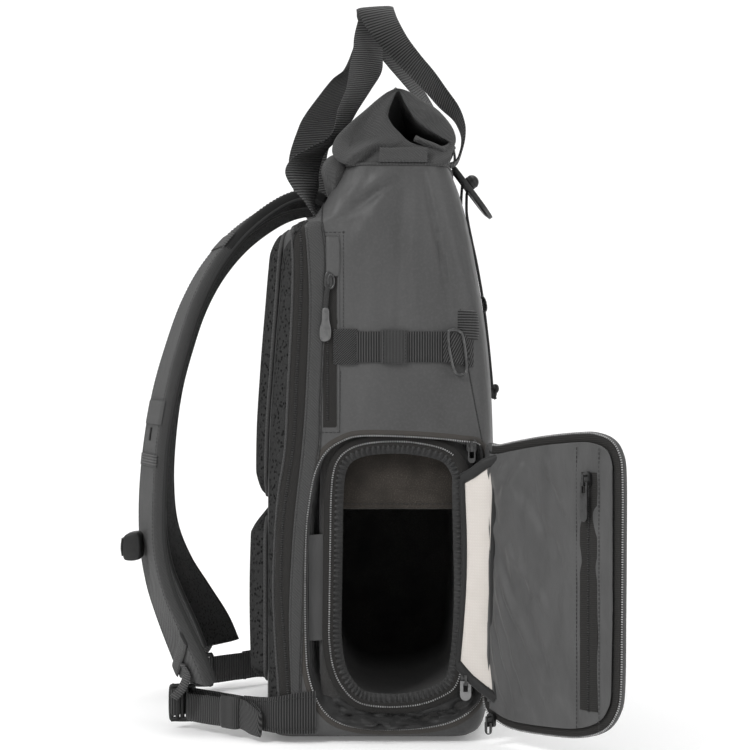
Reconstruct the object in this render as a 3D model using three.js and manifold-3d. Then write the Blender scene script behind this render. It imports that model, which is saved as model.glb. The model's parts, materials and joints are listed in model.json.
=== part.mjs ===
// A roll-top camera backpack standing on its base, with its side door open, in millimetres, +Z up.
// The origin is at the middle of the base, on the floor. +X is the outer front of the bag, -X is the
// side that lies on the wearer's back, and the open camera door is on the -Y side.
import * as THREE from 'three';
import { mergeVertices } from 'three/addons/utils/BufferGeometryUtils.js';
import Module from 'manifold-3d';

const wasm = await Module();
wasm.setup();

// Driving sizes of the bag
const bagWidth = 310;
const bagDepth = 186;
const bagHeight = 470;        // floor to the seam under the roll-top's collar
const rollRise = 62;          // seam to the top of the roll
const gripRise = 155;         // seam to the top of the carrying handles
const cornerRadius = 24;
const frontBulge = 8;
const clothWall = 2.4;
const basePad = 5;
const seamGap = 0.3;          // running gap between pieces that touch

// Driving sizes of the roll
const rollCloth = 4;          // both layers of the rolled collar together
const rollDepth = 80;
const rollThickness = 48;
const rollTurns = 1.5;
const rollCore = 0.40;        // core size as a share of the roll
const rollForward = 24;       // roll's centre, in front of the bag's middle
const rollStart = 1.08;       // where the winding starts, in half turns from +X
const rollLength = 279;

// Driving sizes of the harness
const webbingThickness = 2.2;
const strapWidth = 68;
const strapThickness = 10;
const strapReach = 194;       // furthest back that the middle of a shoulder strap reaches
const strapTop = 446;
const lowerWebWidth = 25;
const backPadThickness = 11;
const backPadWidth = 262;
const lumbarPadThickness = 15;
const lumbarPadHeight = 136;
const lumbarPadLow = 41;
const backPadLow = 196;
const backPadHigh = 418;

// Driving sizes of the side door and the camera cube
const openingBack = 60.5;     // from the bag's middle to the opening's back edge
const doorHinge = 85;         // from the bag's middle to the door's hinge line
const openingLow = 8;
const openingHigh = 247;
const openingRadius = 44;
const doorWidth = 150;
const doorAngle = 48;         // degrees, from the bag's side towards the viewer
const doorThickness = 5;
const doorRise = 6;           // how far the free edge of the door is lifted
const zipTapeWidth = 9;
const zipThickness = 1.6;
const cubeDepth = 284;
const cubeWall = 9;
const cubeBack = 50;
const cubeFront = 79;
const cubeHigh = 250;
const cubeRadius = 26;
const dividerThickness = 8;
const laptopWall = 8;
const laptopWallHigh = 404.2;
const laptopWallSet = 10;     // from the bag's sides to the wall's edges
const laptopWallForward = 6;  // how far the wall stands in front of the opening's back edge
const cubeInset = 7;          // from the bag's near side to the cube's mouth
const cubeFloor = 16.2;
const dividerSet = 14;        // from the cube's mouth to the divider's face
const doorInset = 4;          // from the bag's near side to the door's hinge line
const cutReach = 10;          // how far a cutting solid runs past the wall it cuts
const cubeDoorThickness = 6;

// Driving sizes of the hardware
const compressionHeight = 320;
const sideWebWidth = 25;
const ringWidth = 15;
const ringHeight = 34;
const ringWire = 3;
const ringDrop = 4;           // how far the ring's middle hangs under the webbing's
const keeperThickness = 1.5;
const hookLength = 57;
const hookWidth = 20;
const hookThickness = 2.5;
const ballRadius = 6.5;
const cordDiameter = 2.6;
const knotRadius = 5;
const buckleHeight = 24;
const pullPin = 0.8;          // radius of the pin that a zip pull swings on
const pullGap = 0.4;

const halfWidth = bagWidth / 2;
const halfDepth = bagDepth / 2;

// Materials
const coated = new THREE.MeshStandardMaterial({ color: 0x565656, roughness: 0.55, metalness: 0 });
const twill = new THREE.MeshStandardMaterial({ color: 0x4c4c4c, roughness: 0.85, metalness: 0 });
const webbing = new THREE.MeshStandardMaterial({ color: 0x333333, roughness: 0.8, metalness: 0 });
const mesh3d = new THREE.MeshStandardMaterial({ color: 0x222222, roughness: 0.95, metalness: 0 });
const nylon = new THREE.MeshStandardMaterial({ color: 0x484848, roughness: 0.5, metalness: 0 });
const lining = new THREE.MeshStandardMaterial({ color: 0x2a2a2a, roughness: 0.9, metalness: 0 });
const paleLining = new THREE.MeshStandardMaterial({ color: 0xd8d2cc, roughness: 0.95, metalness: 0 });
const padding = new THREE.MeshStandardMaterial({ color: 0x4b4640, roughness: 0.95, metalness: 0 });
const plastic = new THREE.MeshStandardMaterial({ color: 0x1b1b1b, roughness: 0.45, metalness: 0 });
const darkMetal = new THREE.MeshStandardMaterial({ color: 0x2b2b2c, roughness: 0.35, metalness: 0.8 });
const paleRubber = new THREE.MeshStandardMaterial({ color: 0x8a8a8c, roughness: 0.6, metalness: 0 });

// Rows of a table become objects with the named columns
function table(columns, rows) {
  return rows.map((row) => Object.fromEntries(columns.map((name, i) => [name, row[i]])));
}

// The value of a column at a given level, between the rows of a table
function along(rows, key, level, column) {
  const last = rows.length - 1;
  if (level <= rows[0][key]) return rows[0][column];
  if (level >= rows[last][key]) return rows[last][column];
  const i = rows.findIndex((row) => row[key] >= level);
  const low = rows[i - 1];
  const high = rows[i];
  const t = (level - low[key]) / (high[key] - low[key]);
  return low[column] + t * (high[column] - low[column]);
}

function geometryFrom(points, faces) {
  const geometry = new THREE.BufferGeometry();
  const positions = points.flatMap((p) => [p.x, p.y, p.z]);
  geometry.setAttribute('position', new THREE.Float32BufferAttribute(positions, 3));
  geometry.setIndex(faces);
  return geometry;
}

// A closed solid through rings of equal length, each turning left seen from the last ring
function loft(rings) {
  const count = rings[0].length;
  const points = rings.flat();
  const faces = [];
  for (let i = 0; i < rings.length - 1; i += 1) {
    for (let j = 0; j < count; j += 1) {
      const k = (j + 1) % count;
      const a = i * count + j;
      const b = i * count + k;
      faces.push(a, b, b + count, a, b + count, a + count);
    }
  }
  addCap(points, faces, rings[0], 0, true);
  addCap(points, faces, rings.at(-1), (rings.length - 1) * count, false);
  return geometryFrom(points, faces);
}

function addCap(points, faces, ring, start, flipped) {
  const middle = points.length;
  const centre = ring.reduce((sum, p) => sum.add(p), new THREE.Vector3()).divideScalar(ring.length);
  points.push(centre);
  for (let j = 0; j < ring.length; j += 1) {
    const a = start + j;
    const b = start + (j + 1) % ring.length;
    faces.push(middle, flipped ? b : a, flipped ? a : b);
  }
}

// A cloth vessel: an outer and an inner loft joined at the rim of their last rings
function vessel(outer, inner, openBelow) {
  const count = outer[0].length;
  const points = [...outer.flat(), ...inner.flat()];
  const innerStart = outer.length * count;
  const faces = [];
  const wall = (start, rings, flipped) => {
    for (let i = 0; i < rings - 1; i += 1) {
      for (let j = 0; j < count; j += 1) {
        const k = (j + 1) % count;
        const a = start + i * count + j;
        const b = start + i * count + k;
        if (flipped) faces.push(a, b + count, b, a, a + count, b + count);
        else faces.push(a, b, b + count, a, b + count, a + count);
      }
    }
  };
  const rim = (outerStart, innerRim, flipped) => {
    for (let j = 0; j < count; j += 1) {
      const k = (j + 1) % count;
      const a = outerStart + j;
      const b = outerStart + k;
      const c = innerRim + j;
      const d = innerRim + k;
      if (flipped) faces.push(a, d, b, a, c, d);
      else faces.push(a, b, d, a, d, c);
    }
  };
  wall(0, outer.length, false);
  wall(innerStart, inner.length, true);
  rim((outer.length - 1) * count, innerStart + (inner.length - 1) * count, false);
  if (openBelow) {
    rim(0, innerStart, true);
  } else {
    addCap(points, faces, outer[0], 0, true);
    addCap(points, faces, inner[0], innerStart, false);
  }
  return geometryFrom(points, faces);
}

// Closed geometry to a manifold-3d solid and back
function solid(geometry) {
  const bare = geometry.clone();
  for (const name of Object.keys(bare.attributes)) {
    if (name !== 'position') bare.deleteAttribute(name);
  }
  const merged = mergeVertices(bare, 1e-4);
  return new wasm.Manifold(new wasm.Mesh({
    numProp: 3,
    vertProperties: new Float32Array(merged.attributes.position.array),
    triVerts: new Uint32Array(merged.index.array),
  }));
}

function geometryOf(manifold) {
  const result = manifold.getMesh();
  const geometry = new THREE.BufferGeometry();
  const stride = result.numProp;
  const positions = [];
  for (let i = 0; i < result.vertProperties.length; i += stride) {
    positions.push(...result.vertProperties.slice(i, i + 3));
  }
  geometry.setAttribute('position', new THREE.Float32BufferAttribute(positions, 3));
  geometry.setIndex(Array.from(result.triVerts));
  return geometry;
}

const group = new THREE.Group();

function add(name, geometry, material) {
  const piece = new THREE.Mesh(geometry, material);
  piece.name = name;
  group.add(piece);
  return piece;
}

// A ring round the bag at one level, counter-clockwise from above, starting at the back near corner
const cornerSteps = 4;
function bagRing(z, back, front, side, radius, bulge) {
  const corners = [
    [back + radius, -side + radius, Math.PI],
    [front - radius, -side + radius, 1.5 * Math.PI],
    [front - radius, side - radius, 0],
    [back + radius, side - radius, 0.5 * Math.PI],
  ];
  const ring = [];
  corners.forEach(([cx, cy, start], index) => {
    for (let i = 0; i <= cornerSteps; i += 1) {
      const angle = start + (i / cornerSteps) * 0.5 * Math.PI;
      ring.push(new THREE.Vector3(cx + radius * Math.cos(angle), cy + radius * Math.sin(angle), z));
    }
    if (index === 1) {
      for (const share of [-0.5, 0, 0.5]) {
        ring.push(new THREE.Vector3(front + bulge * (1 - share * share), share * side, z));
      }
    }
  });
  return ring;
}

// Sections of the bag by height: level, back, front, side and corner as shares of bagHeight,
// half the depth, half the depth, half the width and cornerRadius
const bagSections = table(['level', 'back', 'front', 'side', 'corner'], [
  [0.000, 0.93, 0.80, 0.945, 0.70],
  [0.010, 0.98, 0.88, 0.980, 0.90],
  [0.040, 1.00, 0.94, 1.000, 1.00],
  [0.130, 1.00, 0.98, 1.000, 1.00],
  [0.330, 1.00, 1.00, 1.000, 1.00],
  [0.510, 0.99, 0.99, 1.000, 1.00],
  [0.640, 0.95, 0.96, 0.993, 1.00],
  [0.745, 0.91, 0.90, 0.985, 1.00],
  [0.865, 0.86, 0.80, 0.976, 1.00],
  [0.890, 0.80, 0.77, 0.973, 1.00],
  [0.903, 0.68, 0.76, 0.972, 1.00],
  [0.912, 0.57, 0.75, 0.970, 1.00],
  [0.955, 0.44, 0.69, 0.960, 0.95],
  [1.000, 0.31, 0.605, 0.950, 0.85],
]);

function bagAt(z) {
  const level = z / bagHeight;
  const value = (column) => along(bagSections, 'level', level, column);
  return {
    back: -halfDepth * value('back'),
    front: halfDepth * value('front'),
    side: halfWidth * value('side'),
    radius: cornerRadius * value('corner'),
  };
}

function bagSkin(z, inset) {
  const s = bagAt(z);
  return bagRing(z, s.back + inset, s.front - inset, s.side - inset, s.radius - inset, frontBulge);
}

// An outline with round corners in the XZ plane, as a shape whose x is X and whose y is Z
function roundedShape(x0, x1, z0, z1, radii) {
  const [lowLeft, lowRight, highRight, highLeft] = radii;
  const shape = new THREE.Shape();
  shape.moveTo(x0 + lowLeft, z0);
  shape.lineTo(x1 - lowRight, z0);
  shape.absarc(x1 - lowRight, z0 + lowRight, lowRight, -0.5 * Math.PI, 0, false);
  shape.lineTo(x1, z1 - highRight);
  shape.absarc(x1 - highRight, z1 - highRight, highRight, 0, 0.5 * Math.PI, false);
  shape.lineTo(x0 + highLeft, z1);
  shape.absarc(x0 + highLeft, z1 - highLeft, highLeft, 0.5 * Math.PI, Math.PI, false);
  shape.lineTo(x0, z0 + lowLeft);
  shape.absarc(x0 + lowLeft, z0 + lowLeft, lowLeft, Math.PI, 1.5 * Math.PI, false);
  return shape;
}

// A shape drawn in XZ and extruded from y to y + depth
function slabXZ(shape, y, depth, curveSegments = 5) {
  const geometry = new THREE.ExtrudeGeometry(shape, { depth, bevelEnabled: false, curveSegments });
  geometry.rotateX(Math.PI / 2);
  geometry.translate(0, y + depth, 0);
  return geometry;
}

// A box between two corners
function block(x0, x1, y0, y1, z0, z1) {
  const geometry = new THREE.BoxGeometry(x1 - x0, y1 - y0, z1 - z0);
  geometry.translate((x0 + x1) / 2, (y0 + y1) / 2, (z0 + z1) / 2);
  return geometry;
}

// A flat band between two edges, with one row of the table for each section of it
function ribbon(rows, thickness) {
  const rings = rows.map((row, i) => {
    const before = rows[Math.max(i - 1, 0)];
    const after = rows[Math.min(i + 1, rows.length - 1)];
    const run = new THREE.Vector3()
      .addVectors(after.a, after.b)
      .sub(before.a)
      .sub(before.b)
      .normalize();
    const across = new THREE.Vector3().subVectors(row.b, row.a).normalize();
    const face = new THREE.Vector3().crossVectors(run, across).normalize().multiplyScalar(thickness / 2);
    return [
      row.a.clone().sub(face),
      row.b.clone().sub(face),
      row.b.clone().add(face),
      row.a.clone().add(face),
    ];
  });
  return loft(rings);
}

const mirrored = (p) => new THREE.Vector3(p.x, -p.y, p.z);

// Main shell: a hollow bag with the camera opening cut in its near side
const openingShape = roundedShape(-openingBack, doorHinge, openingLow, openingHigh,
  [openingRadius, openingRadius * 0.6, openingRadius * 0.25, openingRadius]);

function mainShell() {
  const levels = bagSections.map((row) => row.level * bagHeight);
  const outer = levels.map((z) => bagSkin(z, 0));
  const innerLevels = [basePad, ...levels.filter((z) => z > basePad + 1)];
  const inner = innerLevels.map((z) => bagSkin(z, clothWall));
  const cut = slabXZ(openingShape, -halfWidth - cutReach, 4 * cutReach);
  return geometryOf(solid(vessel(outer, inner, false)).subtract(solid(cut)));
}
add('main_shell', mainShell(), coated);

// Collar under the roll: level is a share of rollRise, back and front of half the depth, side of
// half the width and corner of cornerRadius
const collarSections = table(['level', 'back', 'front', 'side', 'corner'], [
  [0.00, 0.310, 0.600, 0.950, 0.85],
  [0.10, 0.300, 0.570, 0.945, 0.80],
  [0.20, 0.290, 0.450, 0.940, 0.60],
  [0.24, 0.285, 0.180, 0.937, 0.50],
  [0.28, 0.280, -0.02, 0.932, 0.42],
  [0.38, 0.260, -0.07, 0.920, 0.34],
  [0.51, 0.235, -0.09, 0.905, 0.26],
]);

function collar() {
  const rings = (inset) => collarSections.map((row, i) => {
    const z = bagHeight + seamGap + row.level * rollRise;
    const lift = i > 1 && i < 5 ? -inset : 0;
    const radius = Math.max(cornerRadius * row.corner - inset, 1.5);
    return bagRing(z + lift, -halfDepth * row.back + inset, halfDepth * row.front - inset,
      halfWidth * row.side - inset, radius, 0);
  });
  return vessel(rings(0), rings(clothWall), true);
}
add('collar', collar(), twill);

// Roll: the collar's flattened mouth, wound forward and down into a hollow spiral
const rollCentreZ = bagHeight + rollRise - rollThickness / 2;

function rollTop() {
  const steps = 30;
  const startAngle = Math.PI * rollStart;
  const path = [];
  for (let i = 0; i <= steps; i += 1) {
    const turn = (i / steps) * rollTurns;
    const shrink = Math.max(turn - 0.5, 0) / (rollTurns - 0.5);
    const size = 1 - (1 - rollCore) * shrink;
    const angle = startAngle - turn * 2 * Math.PI;
    path.push(new THREE.Vector2(
      rollForward + (rollDepth - rollCloth) / 2 * size * Math.cos(angle),
      rollCentreZ + (rollThickness - rollCloth) / 2 * size * Math.sin(angle),
    ));
  }
  const side = (sign) => path.map((p, i) => {
    const before = path[Math.max(i - 1, 0)];
    const after = path[Math.min(i + 1, path.length - 1)];
    const run = new THREE.Vector2().subVectors(after, before).normalize();
    return new THREE.Vector2(p.x - sign * run.y * rollCloth / 2, p.y + sign * run.x * rollCloth / 2);
  });
  const outline = [...side(1), ...side(-1).reverse()];
  return slabXZ(new THREE.Shape(outline), -rollLength / 2, rollLength);
}
add('roll', rollTop(), twill);

// Padded wall between the laptop pocket and the camera space
const laptopWallFront = -openingBack + laptopWallForward;
const laptopWallBack = laptopWallFront - laptopWall;
add('laptop_wall', slabXZ(
  roundedShape(laptopWallBack, laptopWallFront, basePad + seamGap, laptopWallHigh, [2, 2, 2, 2]),
  -halfWidth + laptopWallSet, bagWidth - 2 * laptopWallSet), lining);

// Back pads: crowned cushions that follow the bag's back. level runs from the pad's foot to its top,
// wide is a share of the pad's width and thick of its thickness
const padSections = table(['level', 'wide', 'thick'], [
  [0.000, 0.80, 0.35],
  [0.025, 0.90, 0.70],
  [0.080, 0.97, 0.95],
  [0.180, 1.00, 1.00],
  [0.350, 1.00, 1.00],
  [0.500, 1.00, 1.00],
  [0.650, 1.00, 1.00],
  [0.820, 1.00, 1.00],
  [0.920, 0.97, 0.95],
  [0.947, 0.94, 0.85],
  [0.975, 0.90, 0.70],
  [1.000, 0.80, 0.35],
]);
const padCrown = table(['out', 'thick'], [
  [-1.00, 0.00], [-1.00, 0.45], [-0.93, 0.88], [-0.50, 1.00],
  [0.50, 1.00], [0.93, 0.88], [1.00, 0.45], [1.00, 0.00],
]);

function backPad(low, high, width, thickness) {
  const rings = padSections.map((row) => {
    const z = low + row.level * (high - low);
    const face = bagAt(z).back - 2 * seamGap;
    return padCrown.map((point) => new THREE.Vector3(
      face - thickness * row.thick * point.thick,
      point.out * row.wide * width / 2,
      z,
    ));
  });
  return loft(rings.map((ring) => ring.reverse()));
}
add('back_pad', backPad(backPadLow, backPadHigh, backPadWidth, backPadThickness), mesh3d);
const lumbarPadHigh = lumbarPadLow + lumbarPadHeight;
add('lumbar_pad', backPad(lumbarPadLow, lumbarPadHigh, backPadWidth, lumbarPadThickness), mesh3d);

// Shoulder straps: back and farBack are the near and the far strap's shares of strapReach, level is
// a share of strapTop and out of half the width, turn and farTurn are the two straps' turns outwards
// in degrees, and wide is a share of strapWidth
const strapSections = table(['back', 'farBack', 'level', 'out', 'turn', 'farTurn', 'wide'], [
  [0.243, 0.243, 1.000, 0.30, 2, 2, 0.95],
  [0.330, 0.343, 1.012, 0.31, 4, 3, 0.98],
  [0.460, 0.490, 0.995, 0.33, 8, 4, 1.00],
  [0.620, 0.658, 0.945, 0.36, 12, 4, 1.00],
  [0.745, 0.787, 0.880, 0.39, 14, 3, 1.00],
  [0.835, 0.880, 0.805, 0.42, 15, 2, 1.00],
  [0.900, 0.946, 0.720, 0.45, 16, 1, 1.00],
  [0.950, 0.996, 0.635, 0.48, 17, 0, 1.00],
  [0.985, 1.030, 0.540, 0.52, 17, 0, 1.00],
  [1.000, 1.045, 0.440, 0.56, 18, 0, 1.00],
  [0.995, 1.037, 0.345, 0.60, 18, 3, 1.00],
  [0.960, 0.990, 0.268, 0.63, 20, 10, 0.97],
  [0.905, 0.918, 0.205, 0.65, 24, 18, 0.92],
  [0.840, 0.840, 0.142, 0.67, 28, 25, 0.88],
  [0.790, 0.790, 0.090, 0.68, 30, 30, 0.80],
]);

// The first row lies against the bag's back
const strapSeat = -bagAt(strapTop - strapThickness / 2 - 1).back - 0.8;

function strapStation(row, mirror) {
  const back = row === strapSections[0] ? strapSeat : strapReach * (mirror ? row.farBack : row.back);
  const centre = new THREE.Vector3(-back, -halfWidth * row.out, strapTop * row.level);
  const turn = THREE.MathUtils.degToRad(mirror ? row.farTurn : row.turn);
  const across = new THREE.Vector3(Math.sin(turn), -Math.cos(turn), 0);
  return mirror ? { centre: mirrored(centre), across: mirrored(across) } : { centre, across };
}

function shoulderStrap(mirror) {
  const stations = strapSections.map((row) => ({ ...strapStation(row, mirror), wide: row.wide }));
  const rings = stations.map((station, i) => {
    const before = stations[Math.max(i - 1, 0)].centre;
    const after = stations[Math.min(i + 1, stations.length - 1)].centre;
    const run = new THREE.Vector3().subVectors(after, before).normalize();
    const face = new THREE.Vector3().crossVectors(run, station.across).normalize();
    const half = strapWidth * station.wide / 2;
    const ring = [];
    const corner = table(['across', 'face'], [
      [-1.00, -0.35], [-0.86, -1.00], [0.86, -1.00], [1.00, -0.35],
      [1.00, 0.35], [0.86, 1.00], [-0.86, 1.00], [-1.00, 0.35],
    ]);
    for (const c of corner) {
      ring.push(station.centre.clone()
        .addScaledVector(station.across, c.across * half)
        .addScaledVector(face, c.face * strapThickness / 2));
    }
    return ring;
  });
  return loft(rings);
}
add('shoulder_strap_near', shoulderStrap(false), twill);
add('shoulder_strap_far', shoulderStrap(true), twill);

// Carrying handles: each edge is given as forward, out and up, shares of half the depth,
// half the width and gripRise above the seam. The rows run from the grip to the near anchor.
const handleColumns = ['aForward', 'aOut', 'aUp', 'bForward', 'bOut', 'bUp'];
const frontHandleRows = table(handleColumns, [
  [0.14, 0.00, 0.985, -0.22, 0.00, 0.985],
  [0.13, 0.20, 0.980, -0.21, 0.16, 0.970],
  [0.17, 0.31, 0.890, -0.12, 0.19, 0.860],
  [0.26, 0.38, 0.775, 0.06, 0.20, 0.725],
  [0.38, 0.44, 0.665, 0.25, 0.24, 0.600],
  [0.50, 0.51, 0.565, 0.42, 0.29, 0.490],
  [0.61, 0.57, 0.460, 0.56, 0.35, 0.385],
  [0.72, 0.62, 0.355, 0.69, 0.40, 0.305],
  [0.77, 0.66, 0.265, 0.755, 0.43, 0.225],
  [0.775, 0.67, 0.195, 0.765, 0.44, 0.165],
  [0.75, 0.67, 0.120, 0.745, 0.44, 0.100],
  [0.70, 0.67, 0.055, 0.70, 0.44, 0.048],
  [0.00, 0.67, 0.030, 0.00, 0.44, 0.030],
]);
const rearHandleRows = table(handleColumns, [
  [0.12, 0.00, 0.945, -0.20, 0.00, 0.945],
  [0.10, 0.07, 0.935, -0.20, 0.10, 0.935],
  [0.03, 0.06, 0.850, -0.24, 0.17, 0.820],
  [0.03, 0.08, 0.740, -0.25, 0.26, 0.715],
  [0.02, 0.15, 0.620, -0.28, 0.34, 0.610],
  [-0.08, 0.26, 0.500, -0.31, 0.44, 0.480],
  [-0.20, 0.38, 0.370, -0.38, 0.56, 0.350],
  [-0.36, 0.46, 0.220, -0.56, 0.67, 0.190],
  [-0.52, 0.53, 0.090, -0.79, 0.72, 0.060],
  [-0.56, 0.57, -0.010, -0.85, 0.77, -0.020],
  [-0.56, 0.59, -0.090, -0.78, 0.80, -0.110],
  [-0.60, 0.60, -0.185, -0.66, 0.83, -0.195],
  [0.00, 0.60, -0.260, 0.00, 0.84, -0.260],
]);

// The last row's forward place is the seat that the handle is sewn to
function handle(rows, seat) {
  const near = rows.map((row) => ({
    a: new THREE.Vector3(halfDepth * row.aForward, -halfWidth * row.aOut, bagHeight + gripRise * row.aUp),
    b: new THREE.Vector3(halfDepth * row.bForward, -halfWidth * row.bOut, bagHeight + gripRise * row.bUp),
  }));
  near.at(-1).a.x = seat;
  near.at(-1).b.x = seat;
  const far = near.slice(1).map((row) => ({ a: mirrored(row.a), b: mirrored(row.b) }));
  return ribbon([...near.reverse(), ...far], webbingThickness);
}
const frontAnchor = halfDepth * along(collarSections, 'level', 0.05, 'front') + seamGap;
const rearAnchorHigh = bagHeight + gripRise * rearHandleRows.at(-1).aUp;
const rearAnchor = bagAt(rearAnchorHigh).back - seamGap - webbingThickness / 2 - 0.2;
add('front_handle', handle(frontHandleRows, frontAnchor), webbing);
add('rear_handle', handle(rearHandleRows, rearAnchor), webbing);

// Camera cube: a padded box with one open side behind the door opening
const cubeLow = basePad + seamGap;
const cubeNear = -halfWidth + cubeInset;
const mouth = {
  back: -cubeBack + cubeWall,
  front: cubeFront - cubeWall,
  low: cubeLow + cubeFloor,
  high: cubeHigh - cubeWall,
};
const mouthRadius = cubeRadius - cubeWall;

function mouthShape() {
  return roundedShape(mouth.back, mouth.front, mouth.low, mouth.high,
    [mouthRadius, mouthRadius, mouthRadius, mouthRadius]);
}

function cameraCube() {
  const outer = slabXZ(roundedShape(-cubeBack, cubeFront, cubeLow, cubeHigh,
    [cubeRadius, cubeRadius, cubeRadius, cubeRadius]), cubeNear, cubeDepth);
  const inner = slabXZ(mouthShape(), cubeNear - cutReach, cubeDepth - cubeWall + cutReach);
  return geometryOf(solid(outer).subtract(solid(inner)));
}
add('camera_cube', cameraCube(), lining);

// Divider: an upright padded face with a shelf behind it
const shelfLow = bagHeight * 0.395;
function divider() {
  const x0 = mouth.back + seamGap;
  const x1 = mouth.front - seamGap;
  const y0 = cubeNear + dividerSet;
  const yEnd = cubeNear + cubeDepth - cubeWall - seamGap;
  const z1 = mouth.high - seamGap;
  const upright = roundedShape(x0, x1, shelfLow, z1, [1, 1, mouthRadius, mouthRadius]);
  const face = slabXZ(upright, y0, dividerThickness);
  const shelf = block(x0, x1, y0, yEnd, shelfLow, shelfLow + dividerThickness);
  return geometryOf(solid(face).add(solid(shelf)));
}
add('cube_divider', divider(), padding);

// Skirt of thin cloth between the bag's opening and the cube's mouth: four strips, mitred at the corners
function skirtRing(near) {
  const gap = 1;
  const hingeGap = 5;
  const outer = roundedShape(-openingBack + gap, doorHinge - hingeGap, openingLow + gap, openingHigh - gap,
    [openingRadius - gap, openingRadius * 0.5, openingRadius * 0.25, openingRadius - gap]);
  outer.holes.push(mouthShape());
  return solid(slabXZ(outer, near, clothWall));
}

function openingSkirt() {
  const near = cubeNear - seamGap - clothWall;
  const ring = skirtRing(near);
  const cornerDepth = mouthRadius * (1 - Math.SQRT1_2);
  const back = mouth.back + cornerDepth;
  const front = mouth.front - cornerDepth;
  const low = mouth.low + cornerDepth;
  const high = mouth.high - cornerDepth;
  const reach = openingRadius;
  const slit = 2 * seamGap;
  const strips = {
    back: [[back, low], [back, high], [back - reach, high + reach], [back - reach, low - reach]],
    front: [[front, low], [front, high], [front + reach, high + reach], [front + reach, low - reach]],
    low: [[back + slit, low], [front - slit, low],
      [front - slit + reach, low - reach], [back + slit - reach, low - reach]],
    high: [[back + slit, high], [front - slit, high],
      [front - slit + reach, high + reach], [back + slit - reach, high + reach]],
  };
  for (const [side, corners] of Object.entries(strips)) {
    const outline = new THREE.Shape(corners.map(([x, z]) => new THREE.Vector2(x, z)));
    const wedge = solid(slabXZ(outline, near - clothWall, 3 * clothWall));
    add(`opening_skirt_${side}`, geometryOf(ring.intersect(wedge)), nylon);
  }
}
openingSkirt();

// Side door: a panel in its own plane, x along it from the hinge and y up, turned about the hinge line
const doorFrame = new THREE.Matrix4();
function placeOnDoor(geometry) {
  const swing = THREE.MathUtils.degToRad(-doorAngle);
  doorFrame.makeRotationZ(swing);
  doorFrame.setPosition(doorHinge - 0.5, -halfWidth + doorInset, 0);
  return geometry.applyMatrix4(doorFrame);
}
const doorLow = openingLow + 2;
const doorHigh = openingHigh - 1 + doorRise;
const doorStart = -0.8;
const doorRadius = openingRadius * 0.9;

function doorPanel() {
  const shape = roundedShape(doorStart, doorWidth, doorLow, doorHigh,
    [doorRadius * 0.5, doorRadius, doorRadius, doorRadius * 0.4]);
  return placeOnDoor(slabXZ(shape, 0, doorThickness));
}
add('door_panel', doorPanel(), coated);

// Sleeve of thin nylon on the inner face of the door
const sleeveStart = doorStart + 20;
const sleeveSet = 7;          // from the panel's low and high edges to the sleeve's
function doorSleeve() {
  const shape = roundedShape(sleeveStart, doorWidth - zipTapeWidth, doorLow + sleeveSet, doorHigh - sleeveSet,
    [6, doorRadius - sleeveSet, doorRadius - sleeveSet, 6]);
  return placeOnDoor(slabXZ(shape, -seamGap - clothWall, clothWall));
}
add('door_sleeve', doorSleeve(), nylon);

// Door zip: a band round the free edge of the panel
function doorZip() {
  const bandWidth = 6;
  const sleeveGap = 1.3;
  const outer = roundedShape(doorStart + bandWidth, doorWidth, doorLow, doorHigh,
    [doorRadius * 0.5, doorRadius, doorRadius, doorRadius * 0.4]);
  const inner = roundedShape(doorStart - cutReach, doorWidth - zipTapeWidth + sleeveGap,
    doorLow + bandWidth, doorHigh - bandWidth, [4, doorRadius - bandWidth, doorRadius - bandWidth, 4]);
  const band = slabXZ(outer, -seamGap - zipThickness, zipThickness);
  const hole = slabXZ(inner, -cutReach, 2 * cutReach);
  return placeOnDoor(geometryOf(solid(band).subtract(solid(hole))));
}
add('door_zip', doorZip(), webbing);

// Cube door: a pale padded flap from the front edge of the cube to the door's sleeve
function cubeDoor() {
  const y = cubeNear - seamGap - clothWall - seamGap - cubeDoorThickness / 2;
  const rows = table(['x', 'y', 'low', 'high'], [
    [doorHinge - 18, y, mouth.low + 40, mouth.high - 29],
    [doorHinge - 10, y - 0.5, mouth.low + 33, mouth.high - 25],
    [doorHinge + 2, y - 5, mouth.low + 16, mouth.high - 17],
    [doorHinge + 9, y - 11, mouth.low + 11, mouth.high - 12],
  ]);
  const half = cubeDoorThickness / 2;
  const rings = rows.map((row) => [
    new THREE.Vector3(row.x, row.y - half, row.low),
    new THREE.Vector3(row.x, row.y - half, row.high),
    new THREE.Vector3(row.x, row.y + half, row.high),
    new THREE.Vector3(row.x, row.y + half, row.low),
  ]);
  return loft(rings.map((ring) => ring.reverse()));
}
add('cube_door', cubeDoor(), paleLining);

// Pocket zip on the sleeve, with a slider and a pull that swings on the slider's bridge
const pocketZipAt = 119;
const pocketZipLow = 38;
const pocketZipHigh = 222;
const pocketTapeHalf = 10;
const pocketFace = -seamGap - clothWall - seamGap;

function pocketZip() {
  const shape = roundedShape(pocketZipAt - pocketTapeHalf, pocketZipAt + pocketTapeHalf,
    pocketZipLow, pocketZipHigh, [1, 1, 1, 1]);
  return placeOnDoor(slabXZ(shape, pocketFace - zipThickness, zipThickness));
}
add('pocket_zip', pocketZip(), webbing);

const sliderLength = 11;
const sliderWidth = 8;
const sliderThickness = 3;
const bridgeRise = 3.2;
const bridgeLength = 6;
const bridgeWire = 1.2;
const bridgeWidth = 2;
const bridgeSet = 3;          // from the slider's foot to the bridge's lower end

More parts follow.
